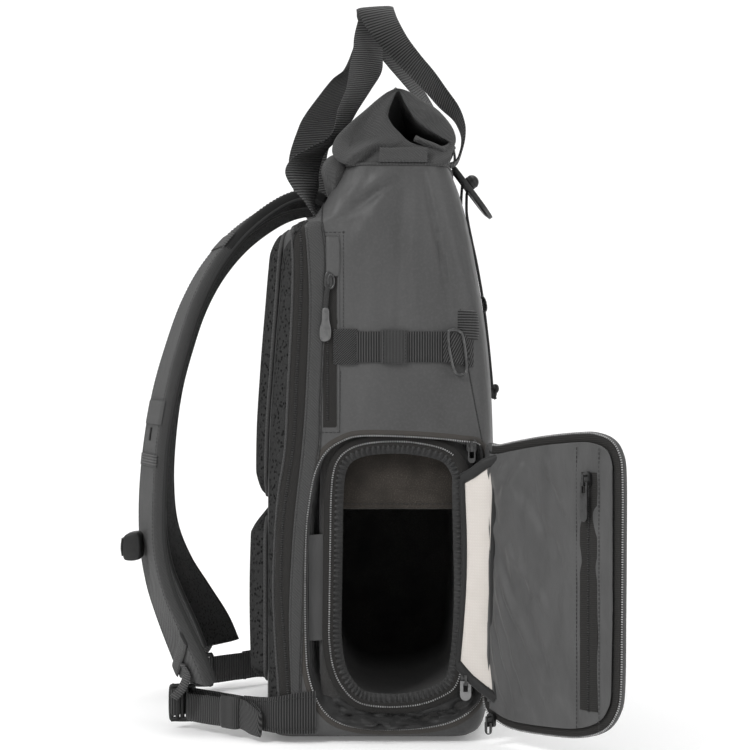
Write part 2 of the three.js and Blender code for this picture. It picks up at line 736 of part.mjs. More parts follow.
// A slider on a zip, drawn in XZ about the bridge's lower end, with its back at y = 0 and its front at -Y
function slider() {
  const half = sliderWidth / 2;
  const shape = roundedShape(-half, half, -bridgeSet, sliderLength - bridgeSet, [2, 2, 3, 3]);
  const plate = slabXZ(shape, -sliderThickness, sliderThickness, 3);
  const arch = block(-bridgeWidth / 2, bridgeWidth / 2, -sliderThickness - bridgeRise - bridgeWire,
    -sliderThickness + 0.5, -bridgeWire - pullPin - pullGap, bridgeLength);
  const hole = block(-bridgeWidth, bridgeWidth, -sliderThickness - bridgeRise, -sliderThickness,
    -pullPin - pullGap, bridgeLength - bridgeWire);
  return geometryOf(solid(plate).add(solid(arch)).subtract(solid(hole)));
}

// A pull hanging from its pin, which lies along X at the origin
function pull(length, width, thickness) {
  const half = width / 2;
  const window = bridgeLength + 2;
  const shape = new THREE.Shape();
  shape.moveTo(-half, pullPin);
  shape.lineTo(-half, -length + half);
  shape.absarc(0, -length + half, half, Math.PI, 2 * Math.PI, false);
  shape.lineTo(half, pullPin);
  shape.lineTo(-half, pullPin);
  const body = slabXZ(shape, -thickness / 2, thickness, 4);
  const eye = bridgeWidth / 2 + 0.9;
  const cut = block(-eye, eye, -thickness, thickness, -window, -pullPin);
  return geometryOf(solid(body).subtract(solid(cut)));
}

const pinFromBack = sliderThickness + bridgeRise - pullPin - pullGap;
const pocketSliderAt = pocketZipHigh - 8;
const pocketSeat = pocketFace - zipThickness - seamGap;
const pocketPullLength = 30;

function onDoor(geometry, fromHinge, seat, up) {
  geometry.translate(fromHinge, seat, up);
  return placeOnDoor(geometry);
}
add('pocket_slider', onDoor(slider(), pocketZipAt, pocketSeat, pocketSliderAt), darkMetal);
add('pocket_pull', onDoor(pull(pocketPullLength, 7, 2 * pullPin), pocketZipAt, pocketSeat - pinFromBack,
  pocketSliderAt), darkMetal);

// A slider with its pull, on the near side of the bag
function sliderPair(name, place, length, width, pullMaterial) {
  add(`${name}_slider`, place(slider(), 0), darkMetal);
  add(`${name}_pull`, place(pull(length, width, 2 * pullPin), -pinFromBack), pullMaterial);
}

// Cube zip's slider, at the foot of the cube door
const cubeSeat = cubeNear - seamGap - clothWall - seamGap;
const cubeSliderAt = { x: mouth.front, z: 46 };
sliderPair('cube', (geometry, out) => geometry.translate(cubeSliderAt.x, cubeSeat + out, cubeSliderAt.z),
  15, 9, paleRubber);

// Door zip's sliders, one on the door's foot and one on the cloth under the opening's top front corner
const doorSeat = -seamGap - zipThickness - seamGap;
const doorSliderLow = doorLow + 4;
sliderPair('door_low', (geometry, out) => onDoor(geometry, doorStart + 14, doorSeat + out, doorSliderLow),
  9, 7, darkMetal);
const topSliderAt = { x: doorHinge - 10, z: openingHigh - 10 };
sliderPair('door_top', (geometry, out) => geometry.translate(topSliderAt.x, cubeSeat + out, topSliderAt.z),
  12, 6, darkMetal);

// The bag's near side surface at a level
function surfaceY(z) {
  return -bagAt(z).side;
}

// The same piece on both sides of the bag
function sidePiece(name, geometry, material) {
  add(`${name}_near`, geometry, material);
  const far = geometry.clone();
  far.applyMatrix4(new THREE.Matrix4().makeScale(1, -1, 1));
  const index = Array.from(far.index ? far.index.array : Array(far.attributes.position.count).keys());
  for (let i = 0; i < index.length; i += 3) {
    const second = index[i + 1];
    index[i + 1] = index[i + 2];
    index[i + 2] = second;
  }
  far.setIndex(index);
  add(`${name}_far`, far, material);
}

// Compression strap: an anchor patch, the webbing, a keeper round it and a ring
const patch = { back: -38, front: -18 };
const keeper = { back: 2, front: 22 };
const ringAt = 62;
const webLow = compressionHeight - sideWebWidth / 2;
const webHigh = compressionHeight + sideWebWidth / 2;
const skinY = Math.min(surfaceY(webLow), surfaceY(webHigh)) - seamGap;
const webOuter = skinY - webbingThickness;
const ringBack = ringAt - ringWidth / 2;
const ringFront = ringAt + ringWidth / 2;

sidePiece('strap_patch', block(patch.back, patch.front, webOuter, skinY, webLow - 2, webHigh + 2), webbing);
sidePiece('compression_strap',
  block(patch.front + seamGap, ringBack - seamGap, webOuter, skinY, webLow, webHigh), webbing);
const keeperInner = webOuter - seamGap;
sidePiece('strap_keeper',
  block(keeper.back, keeper.front, keeperInner - keeperThickness, keeperInner, webLow - 1, webHigh + 1),
  webbing);

function compressionRing() {
  const low = compressionHeight - ringHeight / 2 - ringDrop;
  const high = low + ringHeight;
  const outer = roundedShape(ringBack, ringFront, low, high, [3, 3, 3, 3]);
  const inner = roundedShape(ringBack + ringWire, ringFront - ringWire, low + ringWire, high - ringWire,
    [2, 2, 2, 2]);
  outer.holes.push(inner);
  return slabXZ(outer, skinY - ringWire, ringWire, 3);
}
sidePiece('compression_ring', compressionRing(), darkMetal);

// Side pocket's zip: its tape, and a slider with a corded tab, on the near side
const sideZipAt = -42.5;
const sideZipHalf = 4;
const sideZip = { low: compressionHeight - 66, high: compressionHeight + 3 };
const sideSlider = { low: compressionHeight + 52, high: compressionHeight + 72 };
const sideTab = { low: compressionHeight + 5, high: compressionHeight + 31 };
const sideZipThickness = 1.2;
const zipFace = Math.min(surfaceY(sideZip.low), surfaceY(sideZip.high)) - seamGap;
add('side_zip', block(sideZipAt - sideZipHalf, sideZipAt + sideZipHalf, zipFace - sideZipThickness, zipFace,
  sideZip.low, sideZip.high), webbing);

function sideZipPuller() {
  const face = surfaceY(sideTab.low) - seamGap;
  const head = block(sideZipAt - 4, sideZipAt + 4, face - 4.5, face, sideSlider.low, sideSlider.high);
  const rodLow = sideTab.high - 2;
  const rod = block(sideZipAt - 3, sideZipAt - 0.6, face - 3.5, face - 1.1, rodLow, sideSlider.low + 2);
  const tab = slabXZ(roundedShape(sideZipAt - 8, sideZipAt + 1, sideTab.low, sideTab.high, [4.4, 4.4, 2, 2]),
    face - 3.2, 3.2, 4);
  return geometryOf(solid(head).add(solid(rod)).add(solid(tab)));
}
add('side_zip_puller', sideZipPuller(), plastic);

// Front closure: strap from under the roll, hook plate, loop on the bag, ball, cord and knot
const frontAt = (z) => bagAt(z).front + frontBulge;
const hookRise = 13;          // from the bag's seam up to the hook plate's upper end
const hookForward = 2.2;      // from the bag's front at the seam
const hookTop = { x: frontAt(bagHeight) + hookForward, z: bagHeight + hookRise };
const hookTilt = -53;         // degrees from +X towards the floor

function hookPlate() {
  const geometry = new THREE.BoxGeometry(hookLength, hookWidth, hookThickness);
  geometry.translate(hookLength / 2, 0, 0);
  geometry.rotateY(THREE.MathUtils.degToRad(-hookTilt));
  geometry.translate(hookTop.x, 0, hookTop.z);
  return geometry;
}
add('hook_plate', hookPlate(), darkMetal);

const closureWidth = 20;
function closureStrap() {
  const rows = table(['x', 'z'], [
    [hookTop.x - 10.9, hookTop.z + 12.5],
    [hookTop.x - 7.3, hookTop.z + 5],
    [hookTop.x - 0.7, hookTop.z + 0.9],
  ]);
  return ribbon(rows.map((row) => ({
    a: new THREE.Vector3(row.x, -closureWidth / 2, row.z),
    b: new THREE.Vector3(row.x, closureWidth / 2, row.z),
  })), webbingThickness);
}
add('closure_strap', closureStrap(), webbing);

const tilt = THREE.MathUtils.degToRad(hookTilt);
const ballOut = hookThickness / 2 + seamGap + ballRadius;
const ballAlong = 20;
const ballCentre = {
  x: hookTop.x + ballAlong * Math.cos(tilt) - ballOut * Math.sin(tilt),
  z: hookTop.z + ballAlong * Math.sin(tilt) + ballOut * Math.cos(tilt),
};
const ball = new THREE.SphereGeometry(ballRadius, 14, 10);
ball.translate(ballCentre.x, 0, ballCentre.z);
add('closure_ball', ball, plastic);

const loopAlong = 17;
const loopRoot = bagHeight - 20;
const loopWidth = 14;
const loopSeat = hookThickness / 2 + seamGap + webbingThickness / 2;
function frontLoop() {
  const root = { x: frontAt(loopRoot - 1) + seamGap + webbingThickness / 2, z: loopRoot };
  const tip = {
    x: hookTop.x + loopAlong * Math.cos(tilt) + loopSeat * Math.sin(tilt),
    z: hookTop.z + loopAlong * Math.sin(tilt) - loopSeat * Math.cos(tilt),
  };
  const rows = [root, { x: root.x + 0.2, z: root.z + 6 }, tip];
  return ribbon(rows.map((row) => ({
    a: new THREE.Vector3(row.x, -loopWidth / 2, row.z),
    b: new THREE.Vector3(row.x, loopWidth / 2, row.z),
  })), webbingThickness);
}
add('front_loop', frontLoop(), webbing);

// Cord from the ball down the bag's front: the route's points, chosen by hand
const cordRoute = [
  [78.4, 0, 458.5], [78.3, 0, 453], [78.3, 0, 447.5], [78.5, 0.4, 442], [79.4, 0.8, 436],
  [80.7, 1.2, 429], [82.4, 1.6, 421], [84.1, 2.0, 413], [86.1, 2.2, 404], [87.9, 2.2, 395],
  [89.7, 2.0, 385], [91.6, 1.6, 374], [93.4, 1.0, 362], [95.0, 0.4, 350], [96.5, -0.2, 337],
  [97.9, -0.6, 324], [99.2, -0.8, 311], [100.3, -0.8, 299], [101.2, -0.6, 288.5],
];

function cord() {
  const curve = new THREE.CatmullRomCurve3(cordRoute.map(([x, y, z]) => new THREE.Vector3(x, y, z)));
  const section = new THREE.Shape();
  section.absarc(0, 0, cordDiameter / 2, 0, 2 * Math.PI, false);
  return new THREE.ExtrudeGeometry(section, { steps: 30, curveSegments: 4, extrudePath: curve });
}
add('closure_cord', cord(), webbing);

const knotShare = { x: 0.85, y: 0.9, z: 1.25 };
const knot = new THREE.SphereGeometry(knotRadius, 12, 8);
knot.scale(knotShare.x, knotShare.y, knotShare.z);
const cordEnd = cordRoute.at(-1);
const knotForward = 1.6;
knot.translate(cordEnd[0] + knotForward, cordEnd[1], cordEnd[2] - seamGap - knotRadius * knotShare.z);
add('cord_knot', knot, webbing);

// Harness hardware and lower webbing
const ladderAt = { x: -168, y: -90 };
const ladderLong = 19;
const ladderThick = 6;
const webFloor = 5.5;

function ladderLock() {
  const low = webFloor - 1.5;
  const high = low + buckleHeight + 4;
  const half = ladderLong / 2;
  const frame = roundedShape(ladderAt.x - half, ladderAt.x + half, low, high, [3, 3, 3, 3]);
  const slot = (x) => roundedShape(x - 1.8, x + 1.8, low + 3, high - 3, [0.6, 0.6, 0.6, 0.6]);
  frame.holes.push(slot(ladderAt.x - half * 0.45), slot(ladderAt.x + half * 0.45));
  return slabXZ(frame, ladderAt.y - ladderThick / 2, ladderThick, 3);
}
sidePiece('ladder_lock', ladderLock(), plastic);

const webStart = { x: ladderAt.x + ladderLong / 2 + 3 * seamGap, y: ladderAt.y };
const webEnd = { x: -halfDepth - 20, y: -halfWidth + 24.5 };

function bandRows(rows) {
  return rows.map((row) => ({
    a: new THREE.Vector3(row.x, row.y, row.low),
    b: new THREE.Vector3(row.x, row.y, row.high),
  }));
}

function lowerWebbing() {
  const rows = [0, 0.33, 0.66, 1].map((share) => ({
    x: webStart.x + share * (webEnd.x - webStart.x),
    y: webStart.y + share * (webEnd.y - webStart.y),
    low: webFloor,
    high: webFloor + lowerWebWidth,
  }));
  return ribbon(bandRows(rows), webbingThickness);
}
sidePiece('lower_webbing', lowerWebbing(), webbing);

// Rolled end of the lower webbing, held beside it
const tailThickness = 6;
function webbingTail() {
  const run = new THREE.Vector2(webEnd.x - webStart.x, webEnd.y - webStart.y).normalize();
  const out = webbingThickness / 2 + seamGap + tailThickness / 2;
  const rows = [0.04, 0.3, 0.6, 0.88].map((share, i) => ({
    x: webStart.x + share * (webEnd.x - webStart.x) + run.y * out,
    y: webStart.y + share * (webEnd.y - webStart.y) - run.x * out,
    low: webFloor - 1 + (i === 0 ? 1 : 0),
    high: webFloor + lowerWebWidth - 1,
  }));
  return ribbon(bandRows(rows), tailThickness);
}
sidePiece('webbing_tail', webbingTail(), webbing);

// Cloth wing that holds the lower webbing in the bag's side seam
function anchorWing() {
  const rows = table(['x', 'y', 'low', 'high'], [
    [webEnd.x + 0.4, webEnd.y - 0.5, 5.0, 31],
    [webEnd.x + 15, -halfWidth + 11, 4.5, 33],
    [webEnd.x + 29, -halfWidth + 0.6, 4.0, 36],
    [webEnd.x + 41, -halfWidth - 1.6, 4.0, 38],
    [webEnd.x + 53, -halfWidth - 1.6, 4.0, 40],
  ]);
  return ribbon(bandRows(rows), webbingThickness);
}
sidePiece('anchor_wing', anchorWing(), twill);

// Slider of the chest strap, on the outer face of each shoulder strap
const chestLevel = 160;
const chestBlock = { across: 26, out: 9, along: 24, forward: 8 };
function chestSlider(mirror) {
  const index = strapSections.findIndex((row) => row.level * strapTop < chestLevel);
  const station = strapStation(strapSections[index], mirror);
  const outward = new THREE.Vector3(-Math.abs(station.across.y), -station.across.x * (mirror ? -1 : 1), 0);
  const geometry = new THREE.BoxGeometry(chestBlock.across, chestBlock.out, chestBlock.along);
  const frame = new THREE.Matrix4().makeBasis(station.across, outward,
    new THREE.Vector3().crossVectors(station.across, outward));
  geometry.translate(-chestBlock.forward, strapThickness / 2 + seamGap + chestBlock.out / 2, 0);
  geometry.applyMatrix4(frame);
  geometry.translate(station.centre.x, station.centre.y, station.centre.z);
  return geometry;
}
add('chest_slider_near', chestSlider(false), plastic);
add('chest_slider_far', chestSlider(true), plastic);

export default group;
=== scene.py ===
"""Looks of a roll-top camera backpack with its side door open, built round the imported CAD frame.

Lengths are in millimetres here and are turned into metres when a mesh is made. The axes are the CAD
part's: +X is the bag's outer front, -Y the side with the open door, +Z up, the origin under the base.
"""
import json
import math

import bmesh
import bpy
import numpy as np
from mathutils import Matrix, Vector

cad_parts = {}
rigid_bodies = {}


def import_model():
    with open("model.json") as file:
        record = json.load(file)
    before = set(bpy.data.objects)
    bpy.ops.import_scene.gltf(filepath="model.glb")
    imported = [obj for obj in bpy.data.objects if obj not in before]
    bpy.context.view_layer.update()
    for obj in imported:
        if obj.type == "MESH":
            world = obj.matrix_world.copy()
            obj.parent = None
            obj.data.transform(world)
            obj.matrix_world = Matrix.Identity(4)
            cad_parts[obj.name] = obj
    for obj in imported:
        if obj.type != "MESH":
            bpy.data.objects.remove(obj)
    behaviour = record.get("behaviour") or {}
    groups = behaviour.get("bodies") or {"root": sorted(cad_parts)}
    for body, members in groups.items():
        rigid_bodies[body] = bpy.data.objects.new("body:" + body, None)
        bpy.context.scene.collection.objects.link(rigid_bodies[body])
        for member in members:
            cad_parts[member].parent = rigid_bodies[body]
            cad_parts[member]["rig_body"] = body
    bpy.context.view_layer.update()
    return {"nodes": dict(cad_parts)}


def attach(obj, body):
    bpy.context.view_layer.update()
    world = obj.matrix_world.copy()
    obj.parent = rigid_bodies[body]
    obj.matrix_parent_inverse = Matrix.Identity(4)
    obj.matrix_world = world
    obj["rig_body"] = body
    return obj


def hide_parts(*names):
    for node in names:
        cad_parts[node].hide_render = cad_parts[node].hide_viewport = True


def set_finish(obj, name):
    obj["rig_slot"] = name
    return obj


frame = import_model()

MM = 0.001

# Camera
CAMERA_PLACE = (-4, -1700, 297)
FOCAL_PX, FRAME_PX, SENSOR = 1890, 750, 36

scene = bpy.context.scene
scene.view_settings.view_transform = "Standard"
camera_data = bpy.data.cameras.new("camera")
camera_data.sensor_width = SENSOR
camera_data.lens = SENSOR * FOCAL_PX / FRAME_PX
camera = bpy.data.objects.new("camera", camera_data)
camera.location = [v * MM for v in CAMERA_PLACE]
camera.rotation_euler = (math.pi / 2, 0, 0)
scene.collection.objects.link(camera)
scene.camera = camera


# Materials
class Look:
    """A procedural material: a Principled shader whose colour and bump are built up step by step."""

    def __init__(self, name, colour, roughness, metallic=0.0, sheen=0.0, specular=0.5):
        self.material = bpy.data.materials.new(name)
        self.material.use_nodes = True
        self.tree = self.material.node_tree
        self.shader = self.tree.nodes["Principled BSDF"]
        self.shader.inputs["Base Color"].default_value = (*colour, 1)
        self.shader.inputs["Roughness"].default_value = roughness
        self.shader.inputs["Metallic"].default_value = metallic
        self.shader.inputs["Specular IOR Level"].default_value = specular * 0.6
        self.shader.inputs["Sheen Weight"].default_value = sheen
        self.shader.inputs["Sheen Roughness"].default_value = 0.5
        self.colour = None
        self.plain = colour
        self.normal = None

    def node(self, kind, **settings):
        node = self.tree.nodes.new("ShaderNode" + kind)
        for key, value in settings.items():
            setattr(node, key, value)
        return node

    def put(self, socket, value):
        if hasattr(value, "is_output"):
            self.tree.links.new(value, socket)
        else:
            socket.default_value = value

    def math(self, operation, *values, clamp=False):
        node = self.node("Math", operation=operation, use_clamp=clamp)
        for socket, value in zip(node.inputs, values):
            self.put(socket, value)
        return node.outputs[0]

    def place(self, source):
        return self.node("TexCoord").outputs[source]

    def stripes(self, direction, period, source="Object"):
        """0 to 1 and back once a period (mm) along a direction."""
        dot = self.node("VectorMath", operation="DOT_PRODUCT")
        self.put(dot.inputs[0], self.place(source))
        dot.inputs[1].default_value = [d * 2 * math.pi / (period * MM) for d in direction]
        wave = self.math("SINE", dot.outputs["Value"])
        return self.math("MULTIPLY_ADD", wave, 0.5, 0.5)

    def noise(self, size, detail=2.0, stretch=(1, 1, 1), source="Object"):
        """Noise whose blobs are about size mm across, longer by stretch along each axis."""
        scale = self.node("VectorMath", operation="MULTIPLY")
        self.put(scale.inputs[0], self.place(source))
        scale.inputs[1].default_value = [1 / (size * MM * s) for s in stretch]
        texture = self.node("TexNoise")
        texture.inputs["Scale"].default_value = 1.0
        texture.inputs["Detail"].default_value = detail
        self.put(texture.inputs["Vector"], scale.outputs[0])
        return texture.outputs["Fac"]

    def cells(self, size, stretch=(1, 1, 1)):
        """Distance to the nearest of scattered points about size mm apart."""
        scale = self.node("VectorMath", operation="MULTIPLY")
        self.put(scale.inputs[0], self.place("Object"))
        scale.inputs[1].default_value = [1 / (size * MM * s) for s in stretch]
        texture = self.node("TexVoronoi", feature="F1")
        texture.inputs["Scale"].default_value = 1.0
        self.put(texture.inputs["Vector"], scale.outputs[0])
        return texture.outputs["Distance"]

    def ramp(self, value, low, high):
        node = self.node("MapRange")
        self.put(node.inputs["Value"], value)
        node.inputs["From Min"].default_value = low
        node.inputs["From Max"].default_value = high
        return node.outputs["Result"]

    def tint(self, share, colour):
        """Mixes the colour so far towards another where share is 1."""
        mix = self.node("Mix", data_type="RGBA")
        self.put(mix.inputs["Factor"], share)
        self.put(mix.inputs["A"], self.colour if self.colour is not None else (*self.plain, 1))
        mix.inputs["B"].default_value = (*colour, 1)
        self.colour = mix.outputs["Result"]
        self.put(self.shader.inputs["Base Color"], self.colour)
        return self

    def mottle(self, size, low, high, colour, share=1.0, detail=2, stretch=(1, 1, 1)):
        """Tints blobs about size mm across with another colour."""
        blobs = self.ramp(self.noise(size, detail, stretch), low, high)
        return self.tint(self.math("MULTIPLY", blobs, share) if share != 1 else blobs, colour)

    def bump(self, height, depth, strength=1.0):
        """Relief of a depth in mm."""
        node = self.node("Bump")
        node.inputs["Strength"].default_value = strength
        node.inputs["Distance"].default_value = depth * MM
        self.put(node.inputs["Height"], height)
        if self.normal is not None:
            self.put(node.inputs["Normal"], self.normal)
        self.normal = node.outputs["Normal"]
        self.put(self.shader.inputs["Normal"], self.normal)
        return self

    def gloss(self, value, low, high):
        """Roughness from low to high as value goes from 0 to 1."""
        self.put(self.shader.inputs["Roughness"], self.math("MULTIPLY_ADD", value, high - low, low))
        return self


LIT = 0.72  # share of a cloth's seen brightness that is its own colour


def grey(level, warm=0.0):
    """A grey that shows at about an sRGB level from 0 to 255 under the studio light, as a linear colour."""
    values = [min(255, max(0, level + shift)) / 255 for shift in (warm, 0, -warm)]
    return tuple(LIT * (v / 12.92 if v <= 0.04045 else ((v + 0.055) / 1.055) ** 2.4) for v in values)


DIAGONAL, OTHER_DIAGONAL = (1, 1, 1), (1, 1, -1)


def coated_look():
    look = Look("coated_cloth", grey(84), 0.46, specular=0.5)
    look.mottle(60, 0.35, 0.7, grey(72), detail=3, stretch=(1, 1, 2.4))
    look.mottle(2.2, 0.45, 0.8, grey(106), 0.22)
    look.gloss(look.noise(14, 3), 0.42, 0.62)
    look.bump(look.noise(34, 2, (0.6, 0.6, 1.8)), 2.2)
    look.bump(look.noise(1.1, 1), 0.06)
    return look.material


def twill_look(name, level, period=1.9, depth=0.32):
    look = Look(name, grey(level), 0.85, sheen=0.1, specular=0.2)
    rib = look.stripes(DIAGONAL, period * 1.414)
    look.tint(look.math("MULTIPLY", rib, 0.55), grey(level - 15))
    look.mottle(25, 0.4, 0.7, grey(level - 8), 0.5, detail=3)
    look.bump(rib, depth)
    look.bump(look.stripes(OTHER_DIAGONAL, 0.9), 0.08)
    look.bump(look.noise(22, 2), 1.0)
    return look.material


def webbing_look(name="webbing", level=54, rib=2.4, depth=0.5):
    look = Look(name, grey(level), 0.72, sheen=0.12, specular=0.3)
    ribs = look.stripes((0, 1, 0), rib, "UV")
    # The ribs' grooves are tinted darker and their crests lighter, in step with the bump: painted shade and
    # painted highlight.
    look.tint(look.math("SUBTRACT", 1.0, look.ramp(ribs, 0.1, 0.7), clamp=True), grey(level - 36))
    look.tint(look.math("MULTIPLY", look.ramp(ribs, 0.6, 1.0), 0.6), grey(level + 30))
    look.bump(ribs, depth)
    look.bump(look.stripes((1, 0, 0), 1.1, "UV"), 0.12)
    return look.material


def mesh_look(name="spacer_mesh", level=56):
    look = Look(name, grey(level), 0.95, specular=0.15)
    hole = look.ramp(look.cells(2.4, (1, 1, 1.5)), 0.18, 0.42)
    # The holes are tinted near black, in step with the bump: painted shade in them.
    look.tint(look.math("SUBTRACT", 1.0, hole, clamp=True), grey(16))
    look.mottle(0.7, 0.55, 0.7, grey(level + 24), 0.5, detail=1)
    look.bump(hole, 0.7)
    look.bump(look.noise(16, 2), 1.2)
    return look.material


def nylon_look(name="nylon", level=80):
    look = Look(name, grey(level), 0.5, sheen=0.15, specular=0.45)
    look.mottle(30, 0.4, 0.7, grey(level - 16), 0.6, detail=3, stretch=(0.5, 0.5, 1.6))
    look.gloss(look.noise(12, 3), 0.4, 0.62)
    look.bump(look.noise(9, 3, (0.7, 0.7, 1.8)), 0.5)
    look.bump(look.stripes((1, 0, 0), 0.8), 0.03)
    look.bump(look.stripes((0, 0, 1), 0.8), 0.03)
    return look.material


def lining_look():
    look = Look("dark_lining", grey(66, 1), 0.95, sheen=0.25, specular=0.15)
    look.mottle(1.2, 0.45, 0.75, grey(80, 1))
    look.mottle(30, 0.45, 0.75, grey(54))
    look.bump(look.noise(1.0, 2), 0.3)
    return look.material


def padding_look():
    look = Look("brushed_padding", grey(56, 4), 0.95, sheen=0.2, specular=0.12)
    look.mottle(0.9, 0.5, 0.78, grey(88, 6))
    look.mottle(34, 0.42, 0.75, grey(42, 3))
    look.bump(look.noise(1.0, 2), 0.35)
    look.bump(look.noise(20, 2), 1.4)
    return look.material


def pale_look():
    look = Look("pale_lining", grey(232, 6), 0.95, sheen=0.1, specular=0.15)
    grid = look.math("MULTIPLY", look.stripes((1, 0, 0), 2.0), look.stripes((0, 0, 1), 2.4))
    look.tint(look.math("MULTIPLY", look.math("SUBTRACT", 1.0, grid), 0.35), grey(212, 8))
    look.mottle(18, 0.5, 0.8, grey(210, 7), 0.4, detail=3)
    look.bump(grid, 0.12)
    return look.material


def tape_look(name="zip_tape", level=40, warm=1):
    look = Look(name, grey(level, warm), 0.85, sheen=0.1, specular=0.25)
    rib = look.stripes(DIAGONAL, 1.6)
    look.tint(look.math("MULTIPLY", rib, 0.6), grey(level + 16, warm))
    look.bump(rib, 0.15)
    return look.material


def plastic_look():
    look = Look("moulded_plastic", grey(38), 0.42, specular=0.5)
    look.mottle(9, 0.4, 0.7, grey(44), detail=3)
    look.gloss(look.noise(3, 3), 0.36, 0.52)
    look.bump(look.noise(0.5, 2), 0.04)
    return look.material


def metal_look(name="dark_metal", level=96, rough=0.32):
    look = Look(name, grey(level), rough, metallic=0.9)
    look.mottle(4, 0.45, 0.75, grey(level - 22), detail=3)
    look.gloss(look.noise(2, 3, (6, 1, 1)), rough - 0.06, rough + 0.14)
    look.bump(look.noise(0.6, 2), 0.02)
    return look.material


def teeth_look():
    look = Look("zip_teeth", grey(196), 0.38, specular=0.8)
    look.mottle(6, 0.4, 0.7, grey(150))
    look.bump(look.noise(0.5, 1), 0.03)
    return look.material


def thread_look():
    look = Look("thread", grey(46), 0.7)
    look.mottle(1.5, 0.4, 0.6, grey(66), detail=1)
    look.bump(look.stripes(DIAGONAL, 0.5), 0.05)
    return look.material


def rubber_look():
    look = Look("pale_rubber", grey(150), 0.55, specular=0.4)
    look.mottle(3, 0.4, 0.7, grey(138))
    look.bump(look.noise(0.4, 1), 0.03)
    return look.material


def braid_look():
    look = Look("braided_cord", grey(42), 0.8, sheen=0.1)
    look.tint(look.stripes(DIAGONAL, 1.3), grey(64))
    look.bump(look.stripes(DIAGONAL, 1.3), 0.25)
    look.bump(look.stripes(OTHER_DIAGONAL, 1.3), 0.25)
    return look.material


def floor_look():
    look = Look("floor", (0.95, 0.95, 0.95), 0.9, specular=0.1)
    look.shader.inputs["Emission Color"].default_value = (1, 1, 1, 1)
    look.shader.inputs["Emission Strength"].default_value = 0.14
    look.tint(look.math("MULTIPLY", look.noise(400, 1), 0.1), (0.9, 0.9, 0.9))
    return look.material


COATED = coated_look()
TWILL = twill_look("twill", 82)
STRAP_TWILL = twill_look("strap_twill", 76, 2.1, 0.25)
STRAP_TOP_CLOTH = twill_look("strap_top_cloth", 50, 1.2, 0.05)
WEBBING = webbing_look()
WEBBING_FLAT = webbing_look("flat_webbing", 66, 1.2, 0.15)
SIDE_WEBBING = webbing_look("side_webbing", 62, 2.1, 0.6)
SLANT_WEBBING = webbing_look("slant_webbing", 66, 2.2, 0.6)
HANDLE_WEBBING = webbing_look("handle_webbing", 66, 2.5, 0.7)
WING_WEBBING = webbing_look("wing_webbing", 60, 2.2, 0.5)
MESH = mesh_look()
NYLON = nylon_look()
# Dark nylon: the own colour of the flap's binding and the laptop wall, and painted shade on the opening
# cloth, in the pocket zip's mouth and along the strap's slit.
DARK_NYLON_AND_PAINTED_SHADE = nylon_look("dark_nylon_and_painted_shade", 38)
RUCHED = nylon_look("ruched_nylon", 56)
SLEEVE_NYLON = nylon_look("sleeve_nylon", 88)
LINING = lining_look()
PADDING = padding_look()
PALE = pale_look()
TAPE = tape_look()
OPENING_TAPE = tape_look("opening_tape", 66, 3)
PLASTIC = plastic_look()
METAL = metal_look()
BRIGHT_METAL = metal_look("bright_metal", 104, 0.3)
PULL_METAL = metal_look("pull_metal", 128, 0.4)
TEETH = teeth_look()
THREAD = thread_look()
RUBBER = rubber_look()
BRAID = braid_look()


# Mesh tools
def table(columns, rows):
    return [dict(zip(columns, row)) for row in rows]


def columns_of(rows, *names):
    return [np.array([row[name] for row in rows], float) for name in names]


def spline(rows, per=6, closed=False):
    """A smooth curve through rows of numbers, with per steps from one row to the next."""
    p = np.array(rows, float)
    if closed:
        p = np.vstack([p[-1:], p, p[:2]])
    else:
        p = np.vstack([2 * p[0] - p[1], p, 2 * p[-1] - p[-2]])
    out = []
    for i in range(1, len(p) - 2):
        a, b, c, d = p[i - 1], p[i], p[i + 1], p[i + 2]
        for t in np.arange(per) / per:
            out.append(0.5 * (2 * b + (c - a) * t + (2 * a - 5 * b + 4 * c - d) * t * t
                              + (3 * b - a - 3 * c + d) * t ** 3))
    if not closed:
        out.append(p[-2])
    return np.array(out)


def run_length(path):
    """Distance along a path from its start to each of its points."""
    return np.concatenate([[0], np.cumsum(np.linalg.norm(np.diff(path, axis=0), axis=1))])


def evenly(path, step, closed=False):
    """The same path with points step mm apart, or as many as step says when it is a whole number."""
    p = np.vstack([path, path[:1]]) if closed else np.asarray(path, float)
    length = run_length(p)
    count = step if isinstance(step, int) else max(2, round(length[-1] / step) + (0 if closed else 1))
    at = np.linspace(0, length[-1], count + 1)[:-1] if closed else np.linspace(0, length[-1], count)
    return np.stack([np.interp(at, length, p[:, k]) for k in range(p.shape[1])], axis=1)


def closed_curve(points, step=220, per=8):
    """A smooth closed curve through the points, evenly spaced as step says."""
    return evenly(spline(points, per, closed=True), step, closed=True)


def unit(v):
    return v / np.maximum(np.linalg.norm(v, axis=-1, keepdims=True), 1e-9)


def quads(rows, cols, wrap_rows=False, wrap_cols=False):
    faces = []
    for i in range(rows if wrap_rows else rows - 1):
        for j in range(cols if wrap_cols else cols - 1):
            k, m = (i + 1) % rows, (j + 1) % cols
            faces.append((i * cols + j, i * cols + m, k * cols + m, k * cols + j))
    return faces


def loft(rings, wrap=False, caps=(True, True)):
    """Points and faces of closed rings joined in a row, and the last to the first where wrap is set."""
    rings = np.asarray(rings, float)
    n, m = rings.shape[:2]
    points = rings.reshape(-1, 3)
    faces = quads(n, m, wrap, True)
    if not wrap:
        for cap, first in zip(caps, (0, (n - 1) * m)):
            if cap:
                middle = len(points)
                points = np.vstack([points, points[first:first + m].mean(0)])
                faces += [(middle, first + j, first + (j + 1) % m) for j in range(m)]
    return points, faces


def between(top, low):
    """The closed solid between two grids of points of the same size."""
    return loft(np.concatenate([top, low[:, ::-1]], axis=1))


def surface(rows, wrap=False):
    """Points and faces of the open surface through rows of points, each row closed where wrap is set."""
    rows = np.asarray(rows, float)
    return rows.reshape(-1, 3), quads(*rows.shape[:2], False, wrap)


